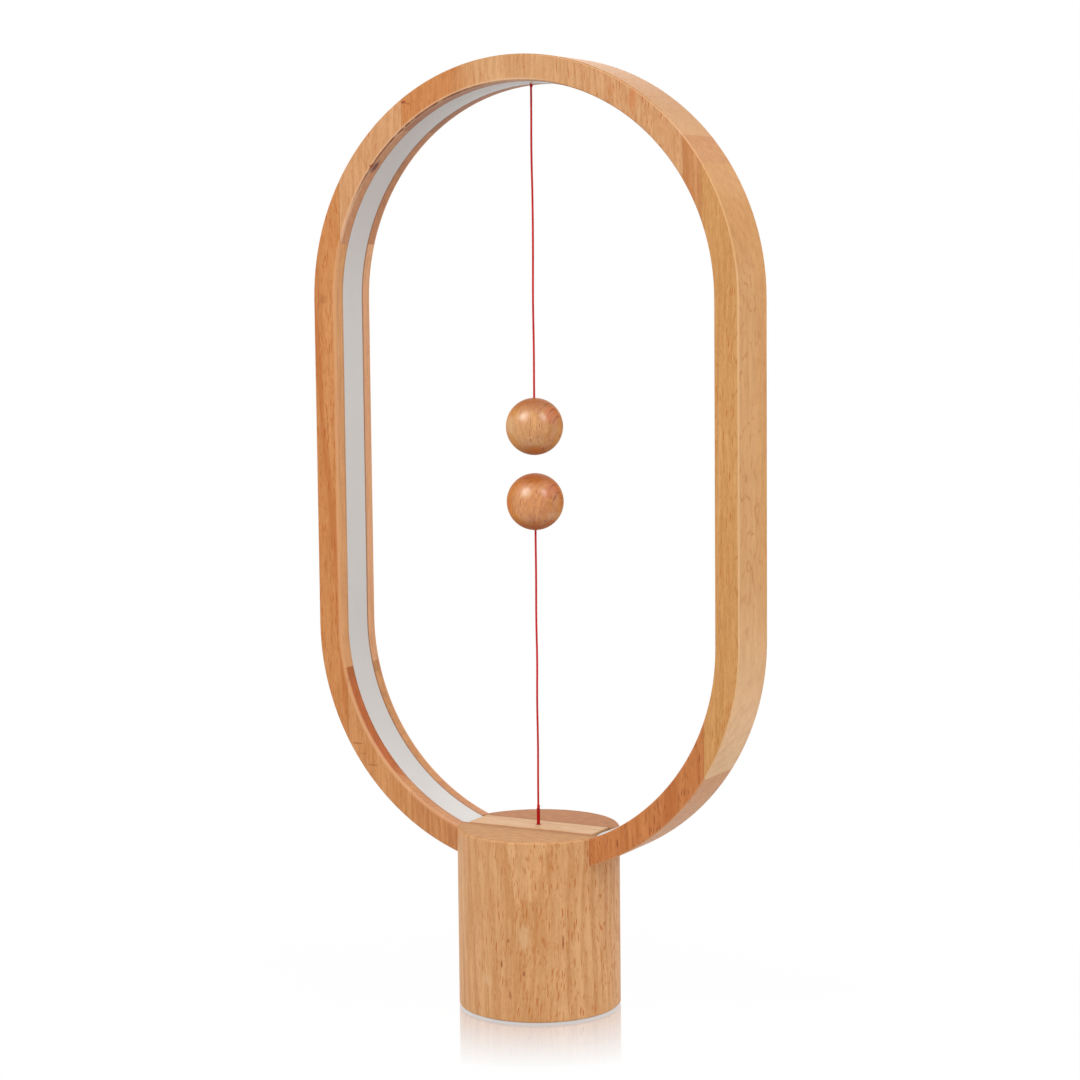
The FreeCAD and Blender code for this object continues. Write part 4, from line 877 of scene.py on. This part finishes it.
class LAMP_OT_balls(bpy.types.Operator):
    """The two turned balls, with a plug of the same wood over each magnet"""

    bl_idname = "lamp.balls"
    bl_label = "Balls"

    def ball(self, node, tone, shift, turn, grain, dashes, mottle,
             warm_marks, pale_marks_and_highlights, dark_marks):
        """One ball and its plug, polished, with the rays cut long by its round surface."""
        low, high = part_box(node)
        wood = Beech("beech_" + node, tone, shift, turn)
        wood.grow(blotch=0.8, **grain)
        wood.dashes(tone=(0.58, 0.30, 0.12), depth=4.0, **dashes)
        wood.poles_grain_and_shade((low.z + high.z) / 2 / MM)
        wood.mottle(mottle)
        wood.marks(WARM_MARK, warm_marks, BALL_FRONT)
        wood.marks(PALE_MARK, pale_marks_and_highlights, BALL_FRONT)
        wood.marks(DARK_MARK, dark_marks, BALL_FRONT)
        dress(wood.oiled(gloss=1.0), node, node + "_plug")

    def execute(self, context):
        self.ball(
            "upper_ball", rgb(208, 145, 77), (25, 4, -240), (8, 4, 0),
            grain=dict(pith=(-4, 40), rings=0.35, figure=1.4),
            dashes=dict(strength=3.0, side=(0.5, 6.0)), mottle=0.55,
            warm_marks=((10.4, 253.0, 3.2, 6.4, 0.9), (3.4, 237.6, 3.0, 2.2, 0.5)),
            # Painted highlight: the second pale mark, where the left lamp shines on the ball.
            pale_marks_and_highlights=((-6.6, 248.0, 4.2, 6.0, 0.5), (-0.4, 251.4, 1.8, 1.6, 0.4)),
            dark_marks=(
                (9.4, 254.4, 0.4, 3.0, 0.5), (11.2, 250.6, 0.3, 3.6, 0.45),
                (7.0, 256.2, 0.4, 1.8, 0.4), (8.2, 248.6, 0.3, 3.0, 0.4),
            ),
        )
        self.ball(
            "lower_ball", rgb(206, 132, 60), (-60, 9, -180), (-24, -12, 0),
            grain=dict(pith=(6, 34), rings=0.5, figure=1.6),
            dashes=dict(strength=2.2), mottle=0.5,
            warm_marks=((-7.6, 214.4, 2.6, 4.6, 0.7), (10.0, 221.0, 3.0, 5.2, 0.9)),
            # Painted highlight: the first pale mark, where the left lamp shines on the ball.
            pale_marks_and_highlights=((1.5, 220.0, 3.6, 3.2, 0.3), (10.5, 209.6, 2.6, 3.0, 0.3)),
            dark_marks=(
                (9.4, 222.4, 0.4, 2.8, 0.5), (11.2, 218.6, 0.3, 3.2, 0.45),
                (-0.8, 225.4, 3.0, 0.4, 0.45), (4.6, 223.6, 0.3, 2.4, 0.4),
            ),
        )
        nickel = drawn_metal("magnet_nickel", rgb(196, 193, 186), 0.24, (0.4, 0.4, 0.05))
        dress(nickel, "upper_magnet", "lower_magnet")
        return {"FINISHED"}


# ---- the light


class LAMP_OT_diffuser(bpy.types.Operator):
    """The milky diffuser, and the light strip with its chips behind it"""

    bl_idname = "lamp.diffuser"
    bl_label = "Diffuser and light strip"

    def execute(self, context):
        milk = Finish("diffuser_plastic")
        cloud = milk.noise((14, 14, 26), 2.0)
        orange_peel = milk.noise((0.9, 0.9, 1.6), 1.0)
        base = milk.cloud(cloud, rgb(206, 203, 199), rgb(214, 211, 208))
        # Painted shade on the diffuser's upper part, near the top of the ring.
        painted_shade_near_top = milk.z.rises(285, 345)
        base = milk.mix(painted_shade_near_top * 0.45, base, rgb(202, 192, 187))
        dress(milk.surface(base, 0.42 + cloud * 0.04, orange_peel, 0.00001, 0.3), "diffuser")

        film = Finish("circuit_film")
        cloud = film.noise((5, 5, 5), 1.0)
        side = film.y.maths("ABSOLUTE")
        copper = side.rises(2.6, 2.7) * (1.0 - side.rises(3.4, 3.5))
        white = film.cloud(cloud, rgb(228, 227, 222), rgb(238, 237, 233))
        dress(film.surface(film.mix(copper, white, rgb(206, 150, 104)), 0.35), "led_strip")

        chip = Finish("light_chip")
        side = chip.y.maths("ABSOLUTE")
        phosphor = 1.0 - side.rises(0.95, 1.05)
        grain = chip.noise((0.2, 0.2, 0.2), 2.0)
        glow = chip.cloud(grain, rgb(236, 202, 92), rgb(244, 216, 120))
        colour = chip.mix(phosphor, rgb(236, 235, 230), glow)
        dress(chip.surface(colour, 0.4, grain, 0.00001), "led_chips")

        anchor = moulded("anchor_plastic", rgb(214, 209, 203), 0.45)
        dress(anchor, "upper_string_anchor")
        return {"FINISHED"}


# ---- the foot and the inlet


class LAMP_OT_foot(bpy.types.Operator):
    """The bottom cover with its screws, and the foam pad that the lamp stands on"""

    bl_idname = "lamp.foot"
    bl_label = "Foot"

    def execute(self, context):
        dress(moulded("cover_plastic", rgb(40, 39, 38), 0.5, 0.5), "base_cover")
        foam = Finish("foot_foam")
        pore, _ = foam.cells((0.55, 0.55, 0.55))
        tone = foam.noise((4, 4, 4), 2.0)
        base = foam.mix(pore.rises(0.15, 0.6), rgb(196, 190, 182), rgb(222, 217, 210))
        base = foam.cloud(tone, base, rgb(214, 208, 200))
        dress(foam.surface(base, 0.92, pore, 0.00015, 0.8), "foot_pad")
        dress(drawn_metal("screw_steel", rgb(168, 166, 162), 0.32, (0.1, 0.1, 0.5)),
              "cover_screws", "board_screws")
        return {"FINISHED"}


class LAMP_OT_inlet(bpy.types.Operator):
    """The power inlet in the rear of the base, with the contacts on its tongue"""

    bl_idname = "lamp.inlet"
    bl_label = "Power inlet"

    def execute(self, context):
        dress(moulded("inlet_plastic", rgb(30, 30, 31), 0.4, 0.3), "inlet_insert", "inlet_tongue")
        steel = drawn_metal("inlet_steel", rgb(190, 189, 186), 0.27, (0.06, 3, 0.06))
        dress(steel, "inlet_shell")

        low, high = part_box("inlet_tongue")
        tongue = bmesh.new()
        pads, pitch, wide, thin = 12, 0.5 * MM, 0.28 * MM, 0.05 * MM
        depth = high.y - low.y
        long, place = depth * 0.78, (low.y + high.y) / 2 - depth * 0.05
        for level in (low.z, high.z):
            for i in range(pads):
                pad = bmesh.ops.create_cube(tongue, size=1.0)["verts"]
                bmesh.ops.scale(tongue, vec=(wide, long, thin), verts=pad)
                middle = Vector(((i - (pads - 1) / 2) * pitch, place, level))
                bmesh.ops.translate(tongue, vec=middle, verts=pad)
        mesh = bpy.data.meshes.new("inlet_contacts")
        tongue.to_mesh(mesh)
        tongue.free()
        gold = drawn_metal("contact_gold", rgb(224, 180, 96), 0.25, (0.05, 2, 0.05))
        new_piece("inlet_contacts", mesh, gold, "root")
        return {"FINISHED"}


# ---- inside the base


class LAMP_OT_electronics(bpy.types.Operator):
    """The driver board, its parts and the leads inside the base"""

    bl_idname = "lamp.electronics"
    bl_label = "Electronics"

    def execute(self, context):
        board = Finish("board_laminate")
        cell, chance = board.cells((3.0, 1.4, 3.0))
        trace = (1.0 - cell.rises(0.22, 0.30)) * chance.rises(0.35, 0.40)
        weave = board.noise((0.3, 0.3, 0.3), 1.0)
        green = board.cloud(weave, rgb(18, 74, 46), rgb(26, 88, 56))
        green = board.mix(trace * 0.7, green, rgb(44, 118, 74))
        dress(board.surface(green, 0.32, trace, 0.00003, 0.6), "driver_board")

        parts = Finish("component_black")
        from_can = parts.x + 8.0  # the capacitor's middle is at X -8
        can = 1.0 - from_can.maths("ABSOLUTE").rises(2.6, 2.7)
        stripe = can * from_can.rises(1.2, 1.3)
        dust = parts.noise((0.5, 0.5, 0.5), 2.0)
        base = parts.cloud(dust, rgb(24, 24, 25), rgb(34, 34, 35))
        base = parts.mix(stripe, base, rgb(176, 174, 168))
        dress(parts.surface(base, 0.38 + dust * 0.06, dust, 0.00001, 0.4), "board_components")

        # The positive lead of each pair is red: beside the inlet the one on the right, and
        # under the ring the one behind.
        leads = Finish("lead_insulation")
        red_side = leads.x.rises(-0.2, 0.2) * leads.y.rises(8.0, 9.0)
        red_side = red_side + leads.y.rises(0.3, 0.5) * (1.0 - leads.y.rises(3.0, 4.0))
        tone = leads.noise((1.5, 1.5, 5), 2.0)
        skin = leads.mix(red_side, rgb(28, 28, 30), rgb(168, 24, 22))
        skin = leads.mix(0.5 + tone * 0.5, skin, scaled(rgb(120, 40, 38), 0.6), "SOFT_LIGHT")
        dress(leads.surface(skin, 0.42, tone, 0.00002, 0.3), "light_leads", "inlet_leads")
        return {"FINISHED"}


class LAMP_OT_switch(bpy.types.Operator):
    """The pull switch: slider, guide, return spring, lever and microswitch"""

    bl_idname = "lamp.switch"
    bl_label = "Pull switch"

    def execute(self, context):
        dress(moulded("switch_case", rgb(34, 34, 36), 0.42), "microswitch")
        dress(moulded("switch_button", rgb(176, 40, 34), 0.38), "switch_button")
        dress(drawn_metal("lever_steel", rgb(188, 187, 184), 0.26, (8, 0.08, 0.08)), "switch_lever")
        dress(moulded("bush_plastic", rgb(226, 222, 212), 0.4), "guide_bush")
        dress(moulded("slider_plastic", rgb(232, 229, 220), 0.36), "pull_slider")
        steel = drawn_metal("spring_steel", rgb(178, 177, 174), 0.3, (0.2, 0.2, 0.2))
        dress(steel, "return_spring")
        return {"FINISHED"}


# ---- the stage


class LAMP_OT_stage(bpy.types.Operator):
    """A pale floor, soft lamps, white surroundings and the camera"""

    bl_idname = "lamp.stage"
    bl_label = "Stage"

    TARGET = Vector((0.0021, 0.0, 0.19906))
    AZIMUTH, ELEVATION, ROLL = 28.63, 5.92, -0.57
    DISTANCE, LENS, SENSOR = 1.1197, 88.8, 36.0
    LAMP_DISTANCE = 1.15
    # Each lamp's name, azimuth, elevation and share of the power.
    LAMPS = (
        ("left_softbox", -22.3, 41.7, 1.0),
        ("right_softbox", 81.3, 41.6, 1.0),
        ("rear_softbox", 200.0, 30.0, 0.35),
    )
    HORIZON_LIGHT, ZENITH_LOSS = 1.35, 0.9  # of the surroundings, which dim upwards
    FLOOR_DROP = 0.05 * MM  # keeps the floor's face clear of the foot pad's
    CONTACT_SHADE = 0.05  # share of the object's shadow that shows on the floor
    SHADE_REACH = (60, 260)  # where that shadow fades out, in millimetres
    MIRROR_REACH = 60.0  # how far the reflection goes beyond the base, in millimetres
    MIRROR_EDGE = 0.72  # its strength under the base's edge
    MIRROR_FACING = (0.45, 0.80)  # Layer Weight where the reflection starts and is full

    def direction(self, azimuth, elevation):
        """Towards a place on the sky; azimuth 0 is the front, 90 the right."""
        turn, rise = math.radians(azimuth), math.radians(elevation)
        return Vector((
            math.sin(turn) * math.cos(rise), -math.cos(turn) * math.cos(rise), math.sin(rise),
        ))

    def aim(self, thing, place, roll=0.0):
        """Move a camera or lamp to its place, facing the target."""
        back = (place - self.TARGET).normalized()
        right = Vector((0, 0, 1)).cross(back).normalized()
        up = back.cross(right)
        turn = math.radians(roll)
        side = right * math.cos(turn) + up * math.sin(turn)
        top = up * math.cos(turn) - right * math.sin(turn)
        rotation = Matrix((side, top, back)).transposed()
        thing.matrix_world = Matrix.Translation(place) @ rotation.to_4x4()

    def put_camera(self, context):
        camera = put("camera", bpy.data.cameras.new("camera"))
        camera.data.lens = self.LENS
        camera.data.sensor_width = self.SENSOR
        place = self.TARGET + self.direction(self.AZIMUTH, self.ELEVATION) * self.DISTANCE
        self.aim(camera, place, self.ROLL)
        context.scene.camera = camera

    def put_lamps(self, settings):
        for name, azimuth, elevation, share in self.LAMPS:
            light = bpy.data.lights.new(name, "AREA")
            light.size = settings.lamp_size
            light.energy = settings.lamp_power * share
            place = self.TARGET + self.direction(azimuth, elevation) * self.LAMP_DISTANCE
            self.aim(put(name, light), place)

    def put_surroundings(self, context, settings):
        world = bpy.data.worlds.new("surroundings")
        air = Nodes(world)
        way = air.node("ShaderNodeTexCoord", out="Generated")
        height = air.node("ShaderNodeSeparateXYZ", {}, {0: way}, 2).maths("MAXIMUM", 0.0)
        light = (self.HORIZON_LIGHT - height * self.ZENITH_LOSS) * settings.sky
        levels = {"Value": air.seen(), "To Min": light, "To Max": 1.0}
        strength = air.node("ShaderNodeMapRange", {}, levels)
        shine = air.node("ShaderNodeBackground", {}, {"Color": (1, 1, 1, 1), "Strength": strength})
        air.node("ShaderNodeOutputWorld", {}, {"Surface": shine})
        context.scene.world = world

    def floor_finish(self, settings):
        """White to the eye with a faint shadow, a mirror at the foot, and dim as a light."""
        pale = Finish("floor_white")
        seen = pale.seen()
        reach = hypot(pale.x, pale.y)
        grey = settings.ground
        shadow = pale.node("ShaderNodeBsdfDiffuse", {}, {"Color": (0.9, 0.9, 0.9, 1)})
        dim = pale.node("ShaderNodeBsdfDiffuse", {}, {"Color": (grey, grey, grey, 1)})
        lit = pale.node("ShaderNodeMixShader", {}, {0: seen, 1: dim, 2: shadow})
        white = pale.node("ShaderNodeEmission", {}, {"Color": (1, 1, 1, 1), "Strength": 1.0})
        clear = reach.rises(*self.SHADE_REACH) * self.CONTACT_SHADE
        lift = seen * (1.0 - self.CONTACT_SHADE + clear)
        ground = pale.node("ShaderNodeMixShader", {}, {0: lift, 1: lit, 2: white})

        mirror = pale.node("ShaderNodeBsdfGlossy", {}, {"Color": (1, 1, 1, 1), "Roughness": 0.05})
        fade = (1.0 - (reach - BASE_RADIUS) / self.MIRROR_REACH).maths("MAXIMUM", 0.0)
        beyond_edge = reach.rises(BASE_RADIUS - 0.5, BASE_RADIUS + 2.0)
        edge = self.MIRROR_EDGE + beyond_edge * (1.0 - self.MIRROR_EDGE)
        fade = fade * settings.mirror * edge
        facing = pale.node("ShaderNodeLayerWeight", {}, {"Blend": 0.5}, "Facing")
        camera = pale.node("ShaderNodeLightPath", out="Is Camera Ray")
        factor = fade * facing.rises(*self.MIRROR_FACING) * camera
        shown = pale.node("ShaderNodeMixShader", {}, {0: factor, 1: ground, 2: mirror})
        pale.node("ShaderNodeOutputMaterial", {}, {"Surface": shown})
        return pale.material

    def lay_floor(self, settings):
        disc = bmesh.new()
        bmesh.ops.create_circle(disc, cap_ends=True, segments=96, radius=settings.floor_radius)
        bmesh.ops.translate(disc, vec=(0, 0, -self.FLOOR_DROP), verts=disc.verts)
        mesh = bpy.data.meshes.new("floor")
        disc.to_mesh(mesh)
        disc.free()
        mesh.materials.append(self.floor_finish(settings))
        floor = put("floor", mesh)

    def execute(self, context):
        settings = context.scene.lamp_stage
        self.put_camera(context)
        self.put_lamps(settings)
        self.put_surroundings(context, settings)
        self.lay_floor(settings)
        context.scene.view_settings.view_transform = "Standard"
        return {"FINISHED"}


# ---- panel and run


STEPS = (
    LAMP_OT_stage,
    LAMP_OT_strings,
    LAMP_OT_ring,
    LAMP_OT_base,
    LAMP_OT_balls,
    LAMP_OT_diffuser,
    LAMP_OT_foot,
    LAMP_OT_inlet,
    LAMP_OT_electronics,
    LAMP_OT_switch,
)
SETTINGS = {
    "lamp_strings": StringSettings,
    "lamp_wood": WoodSettings,
    "lamp_stage": StageSettings,
}


class LAMP_PT_panel(bpy.types.Panel):
    """The steps and settings of the balance lamp"""

    bl_idname = "LAMP_PT_panel"
    bl_label = "Balance lamp"
    bl_space_type = "VIEW_3D"
    bl_region_type = "UI"
    bl_category = "Balance lamp"

    def draw(self, context):
        for name in SETTINGS:
            settings = getattr(context.scene, name)
            column = self.layout.column(align=True)
            # The first two fields are Blender's own.
            for field in settings.bl_rna.properties.keys()[2:]:
                column.prop(settings, field)
        column = self.layout.column(align=True)
        for step in STEPS:
            column.operator(step.bl_idname)


def register():
    for name, kind in SETTINGS.items():
        bpy.utils.register_class(kind)
        setattr(bpy.types.Scene, name, PointerProperty(type=kind))
    for kind in (*STEPS, LAMP_PT_panel):
        bpy.utils.register_class(kind)


def unregister():
    for kind in reversed((*STEPS, LAMP_PT_panel)):
        bpy.utils.unregister_class(kind)
    for name, kind in reversed(SETTINGS.items()):
        delattr(bpy.types.Scene, name)
        bpy.utils.unregister_class(kind)


def main():
    register()
    for step in STEPS:
        group, name = step.bl_idname.split(".")
        getattr(getattr(bpy.ops, group), name)()


if __name__ == "__main__":
    main()
